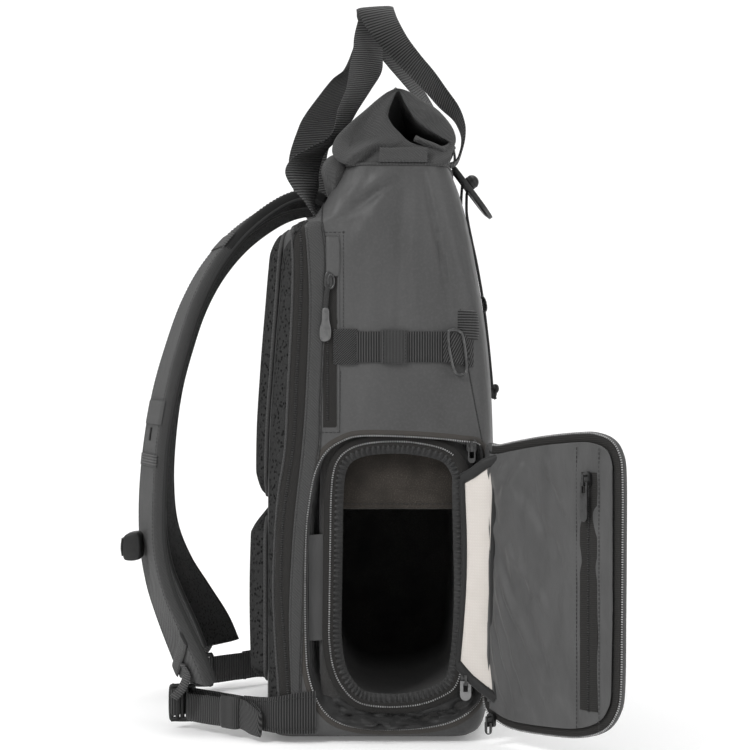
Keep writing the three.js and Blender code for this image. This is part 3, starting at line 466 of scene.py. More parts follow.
def build(name, shape, look, slot, stands_for=(), body="pack", uv=None, sharp=50):
    """An object of the points and faces in shape, riding on a body."""
    points, faces = shape
    mesh = bpy.data.meshes.new(name)
    mesh.from_pydata((np.asarray(points, float) * MM).tolist(), [], [tuple(int(i) for i in f) for f in faces])
    work = bmesh.new()
    work.from_mesh(mesh)
    bmesh.ops.recalc_face_normals(work, faces=work.faces)
    work.to_mesh(mesh)
    work.free()
    if uv is not None:
        layer = mesh.uv_layers.new(name="along")
        corners = np.zeros(len(mesh.loops), np.int32)
        mesh.loops.foreach_get("vertex_index", corners)
        spread = np.zeros((len(points), 2))
        spread[:len(uv)] = np.asarray(uv) * MM
        layer.data.foreach_set("uv", spread[corners].ravel())
    mesh.polygons.foreach_set("use_smooth", [True] * len(mesh.polygons))
    mesh.set_sharp_from_angle(angle=math.radians(sharp))
    mesh.materials.append(look)
    piece = bpy.data.objects.new(name, mesh)
    scene.collection.objects.link(piece)
    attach(piece, body)
    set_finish(piece, slot)
    if stands_for:
        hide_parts(*([stands_for] if isinstance(stands_for, str) else stands_for))
    return piece


def mirrored(shape):
    points, faces = shape
    return np.asarray(points, float) * [1, -1, 1], faces


def pair(name, shape, look, slot, stands_for=None, uv=None, sharp=50):
    """The same piece on the near and the far side of the bag."""
    return [build(f"{name}_{side}", made, look, slot, f"{stands_for}_{side}" if stands_for else (), uv=uv,
                  sharp=sharp)
            for side, made in (("near", shape), ("far", mirrored(shape)))]


def merged(shapes):
    points, faces, start = [], [], 0
    for p, f in shapes:
        points.append(np.asarray(p, float))
        faces += [tuple(i + start for i in face) for face in f]
        start += len(p)
    return np.vstack(points), faces


def band(a, b, thickness, per=6, across=8, crown=0.0, edge=8, slant=0.0):
    """A webbing band between two edges: shape, and its UVs across and along it in mm, slanted by slant."""
    a, b = spline(a, per), spline(b, per)
    centre, side = (a + b) / 2, b - a
    run = unit(np.gradient(centre, axis=0))
    width = np.linalg.norm(side, axis=1)
    side = unit(side)
    face = unit(np.cross(run, side))
    s = np.linspace(-1, 1, across + 1)
    rise = thickness / 2 * (1 - 0.8 * np.abs(s) ** edge)
    flat = centre[:, None] + side[:, None] * (s * width[:, None] / 2)[..., None]
    lift = face[:, None] * (crown * (1 - s * s))[None, :, None]
    top = flat + lift + face[:, None] * rise[None, :, None]
    bottom = flat + lift - face[:, None] * rise[None, :, None]
    along = run_length(centre)
    u = s * width[:, None] / 2
    u = np.concatenate([u, u[:, ::-1]], axis=1)
    uv = np.stack([u, along[:, None] + u * slant], axis=-1).reshape(-1, 2)
    return between(top, bottom), uv


def tube(path, radius, sides=10, squash=1.0):
    """A round tube along a path, with radius one number or one for each point."""
    path = np.asarray(path, float)
    radius = np.broadcast_to(radius, len(path))
    run = unit(np.gradient(path, axis=0))
    side = [unit(np.cross(run[0], [0.3, 1, 0.2]))]
    for r in run[1:]:
        side.append(unit(side[-1] - r * np.dot(side[-1], r)))
    side = np.array(side)
    up = np.cross(run, side)
    angle = np.linspace(0, 2 * math.pi, sides, endpoint=False)
    rings = (path[:, None] + side[:, None] * (np.cos(angle)[None, :] * radius[:, None])[..., None]
             + up[:, None] * (np.sin(angle)[None, :] * radius[:, None] * squash)[..., None])
    return loft(rings)


def blocks(path, normal, pitch, size, closed=False):
    """Small bevelled blocks spaced along a path: size is along, across and out, in mm."""
    path = np.asarray(path, float)
    normal = np.broadcast_to(np.asarray(normal, float), path.shape)
    both = evenly(np.hstack([path, normal * 0.001]), float(pitch), closed)
    at, out = both[:, :3], unit(both[:, 3:])
    run = unit(np.roll(at, -1, 0) - np.roll(at, 1, 0)) if closed else unit(np.gradient(at, axis=0))
    across = unit(np.cross(out, run))
    long, wide, high = (v / 2 for v in size)
    corners = [(-1, -1, 0), (1, -1, 0), (1, 1, 0), (-1, 1, 0), (-0.7, -0.7, 2), (0.7, -0.7, 2), (0.7, 0.7, 2),
               (-0.7, 0.7, 2)]
    points = np.stack([at + run * (a * long) + across * (b * wide) + out * (c * high) for a, b, c in corners],
                      axis=1)
    pattern = [(0, 3, 2, 1), (4, 5, 6, 7), (0, 1, 5, 4), (1, 2, 6, 5), (2, 3, 7, 6), (3, 0, 4, 7)]
    faces = [tuple(8 * i + v for v in face) for i in range(len(at)) for face in pattern]
    return points.reshape(-1, 3), faces


# The bag's form, from the same sections as its CAD shell
BAG_HEIGHT, HALF_DEPTH, HALF_WIDTH, CORNER, FRONT_BULGE, CLOTH = 470, 93, 155, 24, 8, 2.4
BAG = spline([
    [0.000, 0.93, 0.80, 0.945, 0.70], [0.010, 0.98, 0.88, 0.980, 0.90], [0.040, 1.00, 0.94, 1.000, 1.00],
    [0.130, 1.00, 0.98, 1.000, 1.00], [0.330, 1.00, 1.00, 1.000, 1.00], [0.510, 0.99, 0.99, 1.000, 1.00],
    [0.640, 0.95, 0.96, 0.993, 1.00], [0.745, 0.91, 0.90, 0.985, 1.00], [0.865, 0.86, 0.80, 0.976, 1.00],
    [0.890, 0.80, 0.77, 0.973, 1.00], [0.903, 0.68, 0.76, 0.972, 1.00], [0.912, 0.57, 0.75, 0.970, 1.00],
    [0.955, 0.44, 0.69, 0.960, 0.95], [1.000, 0.31, 0.605, 0.950, 0.85],
])


def bag_at(z):
    """Back, front and side faces and the corner radius of the bag at a height."""
    level = np.asarray(z, float) / BAG_HEIGHT
    back, front, side, corner = (np.interp(level, BAG[:, 0], BAG[:, k]) for k in range(1, 5))
    return -HALF_DEPTH * back, HALF_DEPTH * front, HALF_WIDTH * side, CORNER * corner


def ridge(x, z, start, end, width, height):
    """A soft crease from one (x, z) point to another, fading at its ends."""
    ax, az = start
    dx, dz = end[0] - ax, end[1] - az
    length = math.hypot(dx, dz)
    t = ((x - ax) * dx + (z - az) * dz) / length ** 2
    off = ((x - ax) * dz - (z - az) * dx) / length
    fade = np.clip(t, 0, 1) * np.clip(1 - t, 0, 1) * 4
    return height * np.exp(-(off / width) ** 2) * np.sqrt(np.clip(fade, 0, 1))


def folded(x, z, folds):
    return sum(ridge(x, z, *fold) for fold in folds)


# Creases of the side panels: from, to, half width and height
CREASES = [
    ((16, 467), (-30, 442), 5, 3.6), ((19, 462), (-34, 426), 4, -3.6), ((14, 462), (-26, 396), 7, 2.4),
    ((20, 462), (12, 320), 9, -3.4), ((24, 464), (34, 300), 10, 2.6), ((38, 468), (62, 350), 2.4, 2.4),
    ((34, 468), (58, 346), 4, -2.6), ((44, 460), (74, 352), 5, 2.0), ((-28, 420), (-30, 340), 8, 2.2),
    ((-8, 420), (0, 262), 14, 2.0), ((40, 300), (54, 254), 9, -1.6), ((-6, 458), (-22, 446), 3, -2.4),
]


def relief(x, z):
    out = 0.6 * np.sin(x / 23 + 1.2) * np.sin(z / 61)
    for start, end, width, height in CREASES:
        out = out + ridge(x, z, start, end, width, height)
    return out * np.clip((z - 20) / 60, 0, 1)


def near_point(x, z, out=0.0):
    """The point of the bag's near side over (x, z), out mm proud of it. It follows the round corners."""
    x, z, out = np.broadcast_arrays(np.asarray(x, float), np.asarray(z, float), np.asarray(out, float))
    back, front, side, r = bag_at(z)
    centre = np.clip(x, back + r, front - r)
    lean = np.clip((x - centre) / r, -1, 1)
    reach = r + relief(x, z) + out
    return np.stack([centre + lean * reach, -(side - r) - np.sqrt(1 - lean ** 2) * reach, z], axis=-1)


def near_normal(x, z):
    return unit(near_point(x, z, 1.0) - near_point(x, z, 0.0))


def bag_ring(z, inset=0.0):
    """The bag's section at a height, from the back near corner round by the front."""
    back, front, side, r = bag_at(z)
    ring = []
    for x in np.linspace(back + 0.6, front - 0.6, 58):
        ring.append(near_point(x, z, -inset))
    for y in np.linspace(-side + r, side - r, 54):
        share = y / (side - r)
        ring.append([front - inset + FRONT_BULGE * (1 - share ** 2), y, z])
    ring += [[p[0], -p[1], p[2]] for p in ring[57::-1]]
    for y in np.linspace(side - r, -side + r, 46):
        ring.append([back + inset, y, z])
    return np.array(ring, float)


# Opening of the side door on the near face, in (x, z), from the top of the hinge line anticlockwise
OPENING = [
    (81, 240), (66, 243), (47, 245), (12, 247), (-17, 247), (-31, 243), (-44, 234), (-53, 217), (-58, 191),
    (-60.4, 165), (-61.2, 114), (-60.4, 71), (-58, 50), (-51.4, 31), (-41, 17.4), (-27, 10.5), (-5, 7),
    (29, 7.6), (56, 12.5), (76, 24), (84, 40), (85, 90), (85, 170), (84.5, 225),
]


def at_y(path, y):
    """An (x, z) path as points at y."""
    return np.stack([path[:, 0], np.broadcast_to(np.asarray(y, float), len(path)), path[:, 1]], axis=1)


def offset(path, distance):
    """A closed (x, z) path moved outwards by a distance."""
    run = unit(np.roll(path, -1, 0) - np.roll(path, 1, 0))
    turning = np.sum(path[:, 0] * np.roll(path[:, 1], -1) - np.roll(path[:, 0], -1) * path[:, 1])
    out = np.stack([run[:, 1], -run[:, 0]], axis=1) * (1 if turning > 0 else -1)
    return path + out * distance


def main_shell():
    levels = np.concatenate([[0, 0.8, 2.2, 4.2, 7, 11], np.arange(16, BAG_HEIGHT, 4.0), [BAG_HEIGHT]])
    rings = [bag_ring(z) for z in levels]
    shell = build("bag_shell", loft(rings, caps=(True, False)), COATED, "coated_fabric", "main_shell")
    path = closed_curve(OPENING, 3.0)
    cutter = build("cutter", loft([at_y(path, y) for y in (-190, -120)]), COATED, "coated_fabric")
    thick = shell.modifiers.new("thickness", "SOLIDIFY")
    thick.thickness = CLOTH * MM
    thick.offset = -1
    cut = shell.modifiers.new("opening", "BOOLEAN")
    cut.object = cutter
    cut.operation = "DIFFERENCE"
    bpy.context.view_layer.update()
    made = bpy.data.meshes.new_from_object(shell.evaluated_get(bpy.context.evaluated_depsgraph_get()))
    shell.modifiers.clear()
    shell.data = made
    bpy.data.objects.remove(cutter)
    return shell


main_shell()


def skin_patch(name, left, right, look, slot, lift=0.6, across=6, per=8, stands_for=(), both=False, edge=6,
               wave=0.0):
    """A piece of cloth or tape on the bag's side, between two lines of (x, z) points."""
    a, b = spline(left, per), spline(right, per)
    share = np.linspace(0, 1, across + 1)
    xz = a[:, None] * (1 - share)[None, :, None] + b[:, None] * share[None, :, None]
    out = np.repeat((lift + 0.3) * (1 - np.abs(2 * share - 1) ** edge)[None] - 0.3, len(a), axis=0)
    out += wave * np.sin(np.arange(len(a)) * 0.9)[:, None] * np.sin(share * math.pi)[None]
    out[0] = out[-1] = -0.3
    points = near_point(xz[..., 0], xz[..., 1], out)
    along = run_length((a + b) / 2)
    width = np.linalg.norm(b - a, axis=1)
    uv = np.stack([width[:, None] * (share - 0.5)[None], np.repeat(along[:, None], across + 1, axis=1)],
                  axis=-1)
    shape = surface(points)
    if both:
        return pair(name, shape, look, slot, stands_for or None, uv=uv.reshape(-1, 2))
    return build(name, shape, look, slot, stands_for, uv=uv.reshape(-1, 2))


def skin_blocks(name, path, pitch, size, look, slot, both=False, closed=False, out=0.0):
    """Stitches or zip teeth along a line of (x, z) points on the bag's side."""
    x, z = path[:, 0], path[:, 1]
    shape = blocks(near_point(x, z, out), near_normal(x, z), pitch, size, closed)
    return pair(name, shape, look, slot) if both else build(name, shape, look, slot, sharp=30)


STITCH_PITCH, STITCH = 3.4, (2.3, 0.55, 0.45)
TOOTH_PITCH, TOOTH = 1.9, (0.85, 1.35, 0.8)


def side_details():
    """Seams, gussets and zips of the bag's two sides."""
    seam = [(-48, 440), (-48.1, 424.5), (-44.1, 387.7), (-46.5, 323.2), (-49, 270.8), (-50, 236.5),
            (-58, 190), (-61.2, 157.2), (-62.9, 105.7), (-65, 56), (-66, 22)]
    zip_right = [(-66, 438), (-61.2, 424), (-57.1, 361.6), (-59.6, 283.9), (-62.9, 236.5), (-68, 190),
                 (-71, 153.9), (-73.5, 96.7), (-72, 47.7), (-71, 22)]
    zip_middle = [(-68, 430), (-64.5, 407), (-64.5, 361), (-67.8, 297), (-70.2, 244.7), (-75.1, 208.7),
                  (-79.2, 174.4), (-80.8, 122.9), (-78, 79.5), (-75, 40), (-74, 22)]
    zip_left = [(-76, 430), (-72, 407), (-71.5, 361), (-75, 284), (-77.5, 236), (-83, 200), (-86, 165),
                (-87.5, 123), (-86, 80), (-83, 40), (-82, 22)]
    right = evenly(spline(seam, 8), 60)
    wing_back = [(bag_at(z)[0] + 0.5, z) for z in (432, 400, 360, 300, 240, 200, 160, 120, 80, 40, 22)]
    wing_front = [(x + 1, z) for x, z in zip_left]
    skin_patch("back_wing", evenly(spline(wing_back, 8), 60), evenly(spline(wing_front, 8), 60), MESH,
               "spacer_mesh",
               0.9, 6, 2, both=True, edge=12)
    skin_patch("gusset", evenly(spline(zip_right, 8), 60), right, TWILL, "twill", 1.1, 8, 2, both=True,
               edge=10)
    skin_patch("laptop_zip_tape", evenly(spline(zip_left, 8), 60), evenly(spline(zip_right, 8), 60), TAPE,
               "zip_tape", 0.5, 6, 2, both=True, edge=14)
    middle = spline(zip_middle, 8)
    skin_blocks("laptop_zip_teeth", middle, TOOTH_PITCH, (1.1, 2.6, 1.0), THREAD, "zip_tape", True, out=0.4)
    for name, line in (("zip_welt_front", zip_right), ("zip_welt_back", zip_left)):
        path = spline(line, 6)
        pair(name, tube(near_point(path[:, 0], path[:, 1], 0.2), 1.1, 8), TWILL, "twill")
    piping = spline(seam, 6)
    pair("side_seam_piping", tube(near_point(piping[:, 0] + 0.5, piping[:, 1], 0.3), 0.9, 8), THREAD, "twill")
    front_seam = spline([(66, 350), (72, 305), (77.7, 272.5), (83.5, 243)], 8)
    skin_blocks("front_seam", front_seam, 2.2, (2.2, 0.9, 0.5), THREAD, "twill", True)


side_details()

# Side pocket's zip on the near side, with its garage, frame and stitching
ZIP_FRAME = {"back": -47.5, "front": -34.2, "low": 253, "high": 412}


def side_zip():
    f = ZIP_FRAME
    rows = np.linspace(f["low"], f["high"], 24)
    skin_patch("side_zip_tape", [(f["back"], z) for z in rows], [(f["front"], z) for z in rows], TAPE,
               "zip_tape",
               0.35, 6, 3, "side_zip", edge=20)
    skin_blocks("side_zip_teeth", np.array([(-42.8, z) for z in np.linspace(261, 400, 60)]), TOOTH_PITCH,
                (1.1, 1.8, 0.8), THREAD, "zip_tape", out=0.3)
    edge = np.array([(f["front"] + 0.6, z) for z in np.linspace(f["low"], f["high"], 40)])
    build("side_zip_edge", tube(near_point(edge[:, 0], edge[:, 1], 0.2), 0.8, 8), COATED, "coated_fabric")
    for number, line in enumerate(([(-29.8, 414), (-29.8, 334)], [(-32.2, 299), (-32.9, 251)],
                                   [(-34, 250), (-47, 250)], [(-29.8, 414), (-44, 414)])):
        skin_blocks(f"side_stitch_{number}", evenly(np.array(line, float), 2.0), STITCH_PITCH, STITCH, THREAD,
                    "twill")
    garage = [(-45, z) for z in (377, 385, 395, 405, 411)]
    front = [(-33.2, 377), (-31.8, 385), (-31.6, 395), (-31.8, 405), (-33.0, 411)]
    skin_patch("side_zip_garage", garage, front, COATED, "coated_fabric", 2.2, 8, 6, edge=8)
    # A dark sheet in the garage's mouth: painted shade where the pocket opens.
    z = np.linspace(372, 394, 14)
    skin_patch("side_zip_mouth_shade", [(-48 + 1.5 * abs(v - 383) / 11, v) for v in z], [(-43.5, v) for v in z],
               DARK_NYLON_AND_PAINTED_SHADE, "lining", 0.8, 4, 2)


side_zip()


def slab(outline, y, depth, bevel=0.6, step=1.0):
    """A plate drawn in (x, z) from y to y + depth, with soft edges."""
    path = closed_curve(outline, step, 6)
    rings = [(y, -bevel * 1.2), (y + bevel * 0.3, -bevel * 0.4), (y + bevel, 0.0), (y + depth - bevel, 0.0),
             (y + depth, -bevel)]
    return loft([at_y(offset(path, grow), at) for at, grow in rings])


def side_puller():
    """Slider, metal ring, short cord and moulded tab of the side pocket's zip."""
    skin = near_point(-41.5, 365.0)[1]
    ring_angle = np.linspace(0, 2 * math.pi, 28)
    ring = np.stack([-40.0 + 2.6 * np.cos(ring_angle), np.full(28, skin - 2.6),
                     373.5 + 5.6 * np.sin(ring_angle)], 1)
    build("side_puller_ring", tube(ring, 0.9, 8), METAL, "dark_metal")
    body = [(-45, 369), (-39, 369), (-38.4, 376), (-40, 381), (-44, 381), (-45.6, 376)]
    build("side_zip_slider", slab(body, skin - 2.4, 2.4), METAL, "dark_metal")
    path = spline([(-42.5, skin - 2.4, 371), (-43.6, skin - 2.8, 362), (-44.2, skin - 2.8, 354),
                   (-44.6, skin - 2.8, 346)], 6)
    build("side_puller_cord", tube(path, 2.1, 10, 0.7), BRAID, "cord")
    tab = [(-46.9, 351), (-41.9, 351), (-41.2, 341), (-39.9, 335), (-40.2, 327.5), (-43.0, 324.6),
           (-47.4, 324.6), (-49.2, 327.5), (-49.2, 335), (-47.6, 341)]
    build("side_puller_tab", slab(tab, skin - 4.4, 3.0), PULL_METAL, "hard_plastic", "side_zip_puller")


side_puller()


# Rolled top: the outline of its end, and of the hollow in the end, in (x, z) matched point by point
ROLL_END = table(["x", "z", "hollow_x", "hollow_z"], [
    (-29, 471, 16, 498), (-37, 476, 12, 502), (-39.5, 483, 8.5, 507), (-36.5, 493, 7, 511),
    (-27, 503.5, 7.6, 516), (-14, 515, 10, 522), (-1, 526, 12.4, 528), (7, 531.5, 14, 531),
    (15, 534, 16, 531.5), (25, 531.2, 18.5, 527), (34, 525, 22, 520), (46, 518, 30, 508), (55, 509, 37, 502),
    (61, 500, 43, 498), (63, 491, 50, 494), (60, 482, 57, 490), (56, 471, 53, 486.5), (40, 468, 42, 485.5),
    (18, 468, 32, 487), (-8, 468, 23, 491),
])
ROLL_WIDE, ROLL_FOOT = 138.5, 146.5
# Folds of its ends: from, to, half width and height
ROLL_FOLDS = [
    ((-30, 469), (-6, 490), 3.6, 6.0), ((-10, 489), (16, 487), 3.4, 5.4), ((-20, 469), (2, 484), 3.0, -4.4),
    ((-22, 484), (-4, 522), 6, -4.0), ((24, 522), (50, 507), 2.6, 3.6), ((33, 519), (38, 506), 1.6, 2.4),
]


def rolled_top():
    fine = spline(np.stack(columns_of(ROLL_END, "x", "z", "hollow_x", "hollow_z"), axis=1), 8, closed=True)
    outer, hollow = fine[:, :2], fine[:, 2:]
    middle = hollow.mean(0)

    def ring(xz, sign, depth, sag=0.0):
        rise = np.clip((xz[:, 1] - 470) / 24, 0, 1)
        end = ROLL_FOOT - (ROLL_FOOT - ROLL_WIDE) * rise * rise * (3 - 2 * rise)
        fold = folded(xz[:, 0], xz[:, 1], ROLL_FOLDS)
        y = sign * (end - depth + fold * math.exp(-max(depth, 0) / 14))
        return np.stack([xz[:, 0], y, xz[:, 1] - sag * rise], axis=1)

    rings = []
    for share in np.linspace(-1, 1, 41):
        inset = (1 - abs(share)) * (ROLL_WIDE - 10) + 7
        wave = 0.8 * math.sin(share * 9) + 0.5 * math.sin(share * 23 + 1)
        lifted = outer + (outer - outer.mean(0)) * 0.012 * wave
        rings.append(ring(lifted, -1 if share < 0 else 1, inset, 4.0 * (1 - share * share)))
    for sign in (1, -1):
        order = [(0.0, 2.2), (0.05, 0.4), (0.16, -0.8), (0.32, -0.4), (0.5, 0.6), (0.68, 0.8), (0.84, -0.3),
                 (0.95, -0.2), (1.0, 1.4)]
        ends = [ring(outer * (1 - t) + hollow * t, sign, depth) for t, depth in order]
        inner = [ring(middle + (hollow - middle) * grow, sign, depth)
                 for grow, depth in ((1.12, 5), (1.2, 14), (1.1, 34), (0.75, 60), (0.35, 84), (0.12, 100))]
        rings += ends + inner if sign == 1 else []
        if sign == -1:
            rings += (ends + inner)[::-1]
    build("rolled_top", loft(rings, wrap=True), TWILL, "twill", ("collar", "roll"), sharp=70)
    hem = spline([(29, -139, 492.5), (36, -141, 489), (45, -141.5, 485.5), (54, -140.5, 481)], 8)
    build("roll_hem", tube(hem, 2.7, 12, 0.75), TWILL, "twill")
    lip = spline([(31, -142.6, 490.6), (40, -144, 486.6), (52, -143.4, 481.6)], 8)
    build("roll_hem_thread", tube(lip, 0.45, 6), THREAD, "twill")
    line = evenly(spline([(-13, 515.5), (-22, 505), (-27, 496), (-30, 489)], 8), 1.5)
    points = np.stack([line[:, 0] + 5, np.full(len(line), -139.6), line[:, 1] - 2.5], axis=1)
    build("roll_stitches", blocks(points, (0, -1, 0), STITCH_PITCH, STITCH), THREAD, "twill")


rolled_top()


def collar_band():
    """Stiffened strip at the collar's foot, and the seam between the collar and the bag."""
    a = [(x, -148.6, 483.8 - 0.3 * math.sin(x / 6)) for x in np.linspace(0, 39, 8)]
    b = [(x, -150.2, 471.6) for x in np.linspace(-1, 39, 8)]
    shape, uv = band(a, b, 3.2, 5, 8, 0.8)
    pair("collar_band", shape, TWILL, "twill", uv=uv)
    outline = [(-36, 444), (-43, 452), (-47.5, 462), (-49, 470), (-45, 478), (-38, 482), (-28, 480),
               (-26, 462)]
    path = closed_curve(outline, 48, 6)
    middle = path.mean(0)
    rings = []
    for share in np.linspace(-1, 1, 61):
        swell = (1 - abs(share) ** 14) ** 0.5 * (1 + 0.02 * math.sin(share * 31)) + 0.02
        ring = middle + (path - middle) * swell
        rings.append(at_y(ring, share * 141.0))
    build("collar_back", loft(rings), TWILL, "twill")
    rim = bag_ring(469.6)
    rim = evenly(rim, 3.0, closed=True)
    build("collar_seam", tube(np.vstack([rim, rim[:1]]) + [0, 0, 0.8], 1.2, 8), TWILL, "twill")


collar_band()

# Carrying handles, with the edges' places as shares of half the depth, half the width and the grip's rise
GRIP_RISE, WEB = 155, 2.2
FRONT_HANDLE = [
    (0.14, 0.00, 0.985, -0.22, 0.00, 0.985), (0.13, 0.20, 0.980, -0.21, 0.16, 0.970),
    (0.17, 0.31, 0.890, -0.12, 0.19, 0.860), (0.26, 0.38, 0.775, 0.06, 0.20, 0.725),
    (0.38, 0.44, 0.665, 0.25, 0.24, 0.600), (0.50, 0.51, 0.565, 0.42, 0.29, 0.490),
    (0.61, 0.57, 0.460, 0.56, 0.35, 0.385), (0.72, 0.62, 0.355, 0.69, 0.40, 0.305),
    (0.77, 0.66, 0.265, 0.755, 0.43, 0.225), (0.775, 0.67, 0.195, 0.765, 0.44, 0.165),
    (0.75, 0.67, 0.120, 0.745, 0.44, 0.100), (0.70, 0.67, 0.055, 0.70, 0.44, 0.048),
    (0.60, 0.67, 0.030, 0.60, 0.44, 0.030),
]
REAR_HANDLE = [
    (0.12, 0.00, 0.945, -0.20, 0.00, 0.945), (0.10, 0.07, 0.935, -0.20, 0.10, 0.935),
    (0.03, 0.06, 0.850, -0.24, 0.17, 0.820), (0.03, 0.08, 0.740, -0.25, 0.26, 0.715),
    (0.02, 0.15, 0.620, -0.28, 0.34, 0.610), (-0.08, 0.26, 0.500, -0.31, 0.44, 0.480),
    (-0.20, 0.38, 0.370, -0.38, 0.56, 0.350), (-0.33, 0.46, 0.225, -0.443, 0.67, 0.195),
    (-0.458, 0.50, 0.146, -0.632, 0.70, 0.121), (-0.52, 0.53, 0.090, -0.79, 0.72, 0.060),
    (-0.56, 0.57, -0.010, -0.85, 0.77, -0.020), (-0.56, 0.59, -0.090, -0.78, 0.80, -0.110),
    (-0.60, 0.60, -0.185, -0.66, 0.83, -0.195), (-0.585, 0.60, -0.260, -0.585, 0.84, -0.260),
]
REAR_HANDLE_FAR = [
    (0.10, 0.07, 0.935, -0.20, 0.10, 0.935), (0.03, 0.05, 0.860, -0.26, 0.14, 0.800),
    (-0.03, 0.06, 0.760, -0.35, 0.21, 0.690), (-0.14, 0.20, 0.690, -0.47, 0.30, 0.645),
    (-0.24, 0.31, 0.590, -0.615, 0.42, 0.559), (-0.36, 0.41, 0.490, -0.753, 0.52, 0.464),
    (-0.43, 0.49, 0.390, -0.828, 0.60, 0.390), (-0.53, 0.58, 0.225, -0.928, 0.70, 0.217),
    (-0.53, 0.62, 0.070, -0.90, 0.76, 0.065), (-0.52, 0.62, -0.080, -0.80, 0.80, -0.10),
    (-0.60, 0.60, -0.185, -0.66, 0.83, -0.195), (-0.585, 0.60, -0.26, -0.585, 0.84, -0.26),
]


def handle(name, near, far):
    """A webbing handle from its near anchor over the grip to the far one."""
    scale = np.array([HALF_DEPTH, HALF_WIDTH, GRIP_RISE] * 2)
    near, far = (np.array(rows, float) * scale * [1, side, 1, 1, side, 1] + [0, 0, BAG_HEIGHT] * 2
                 for rows, side in ((near, -1), (far, 1)))
    both = np.vstack([near[::-1], far])
    shape, uv = band(both[:, :3], both[:, 3:], WEB, 8, 12, 0.5)
    build(name, shape, HANDLE_WEBBING, "webbing", name, uv=uv)


handle("front_handle", FRONT_HANDLE, FRONT_HANDLE[1:])
handle("rear_handle", REAR_HANDLE, REAR_HANDLE_FAR)

# Shoulder straps
STRAP_WIDTH, STRAP_THICK, STRAP_REACH, STRAP_TOP = 68, 10, 194, 446
STRAP = spline([
    (0.243, 0.243, 1.000, 0.30, 2, 2, 0.95), (0.330, 0.343, 1.012, 0.31, 4, 3, 0.98),
    (0.460, 0.490, 0.995, 0.33, 8, 4, 1.00), (0.620, 0.658, 0.945, 0.36, 12, 4, 1.00),
    (0.745, 0.787, 0.880, 0.39, 14, 3, 1.00), (0.835, 0.880, 0.805, 0.42, 15, 2, 1.00),
    (0.900, 0.946, 0.720, 0.45, 16, 1, 1.00), (0.950, 0.996, 0.635, 0.48, 17, 0, 1.00),
    (0.985, 1.030, 0.540, 0.52, 17, 0, 1.00), (1.000, 1.045, 0.440, 0.56, 18, 0, 1.00),
    (0.995, 1.037, 0.345, 0.60, 18, 3, 1.00), (0.960, 0.990, 0.268, 0.63, 20, 10, 0.97),
    (0.905, 0.918, 0.205, 0.65, 24, 18, 0.92), (0.840, 0.840, 0.142, 0.67, 28, 25, 0.88),
    (0.790, 0.790, 0.090, 0.68, 30, 30, 0.80),
], 10)
STRAP_ROWS = len(STRAP)
STRAP_CREST = int(np.argmax(STRAP[:, 2]))


def strap_values(back, turn):
    """Middle, across, outer face and half width of a shoulder strap, row by row, on the near side."""
    turn = np.radians(turn)
    centre = np.stack([-STRAP_REACH * back, -HALF_WIDTH * STRAP[:, 3], STRAP_TOP * STRAP[:, 2]], axis=1)
    across = np.stack([np.sin(turn), -np.cos(turn), 0 * turn], axis=1)
    face = unit(np.cross(unit(np.gradient(centre, axis=0)), across))
    return np.hstack([centre, across, face, STRAP_WIDTH * STRAP[:, 6:7] / 2])


STRAP_VALUES = {"near": strap_values(STRAP[:, 0], STRAP[:, 4]), "far": strap_values(STRAP[:, 1], STRAP[:, 5])}


def strap_point(side, row, across, out):
    """A place on a shoulder strap: row along it, across from -1 to 1, and out mm from its middle layer."""
    values = STRAP_VALUES[side]
    row, across, out = np.broadcast_arrays(np.asarray(row, float), across, out)
    made = np.stack([np.interp(row, np.arange(STRAP_ROWS), values[:, k]) for k in range(10)], axis=-1)
    aside = made[..., 3:6] * (across * made[..., 9])[..., None]
    return made[..., :3] + aside + unit(made[..., 6:9]) * out[..., None]


def strap_row(z):
    """The row whose middle is at a height, on the strap's way down."""
    return float(np.interp(-z, -STRAP_TOP * STRAP[STRAP_CREST:, 2], np.arange(STRAP_CREST, STRAP_ROWS)))


def strap_pair(name, make, look, slot, stands_for=None, uv=None):
    """The same piece on both shoulder straps, made by a function of the side."""
    made = []
    for side in ("near", "far"):
        shape = make(side) if side == "near" else mirrored(make(side))
        made.append(build(f"{name}_{side}", shape, look, slot, f"{stands_for}_{side}" if stands_for else (),
                          uv=uv))
    return made


def strap_sheet(name, first, last, out, thick, look, slot, width=0.97, steps=60, across=14):
    """A layer on the straps' outer face, from one row to another."""
    row = np.linspace(first, last, steps)
    s = np.linspace(-1, 1, across + 1)

    def make(side):
        top = strap_point(side, row[:, None], s[None] * width, out + thick * (1 - np.abs(s) ** 10)[None])
        low = strap_point(side, row[:, None], s[None] * width, out - 0.6)
        return between(top, low)

    middle = strap_point("near", row, 0.0, out)
    along = run_length(middle)
    u = np.concatenate([s, s[::-1]]) * width * STRAP_WIDTH / 2
    uv = np.stack(np.broadcast_arrays(u[None], along[:, None]), axis=-1).reshape(-1, 2)
    strap_pair(name, make, look, slot, uv=uv)


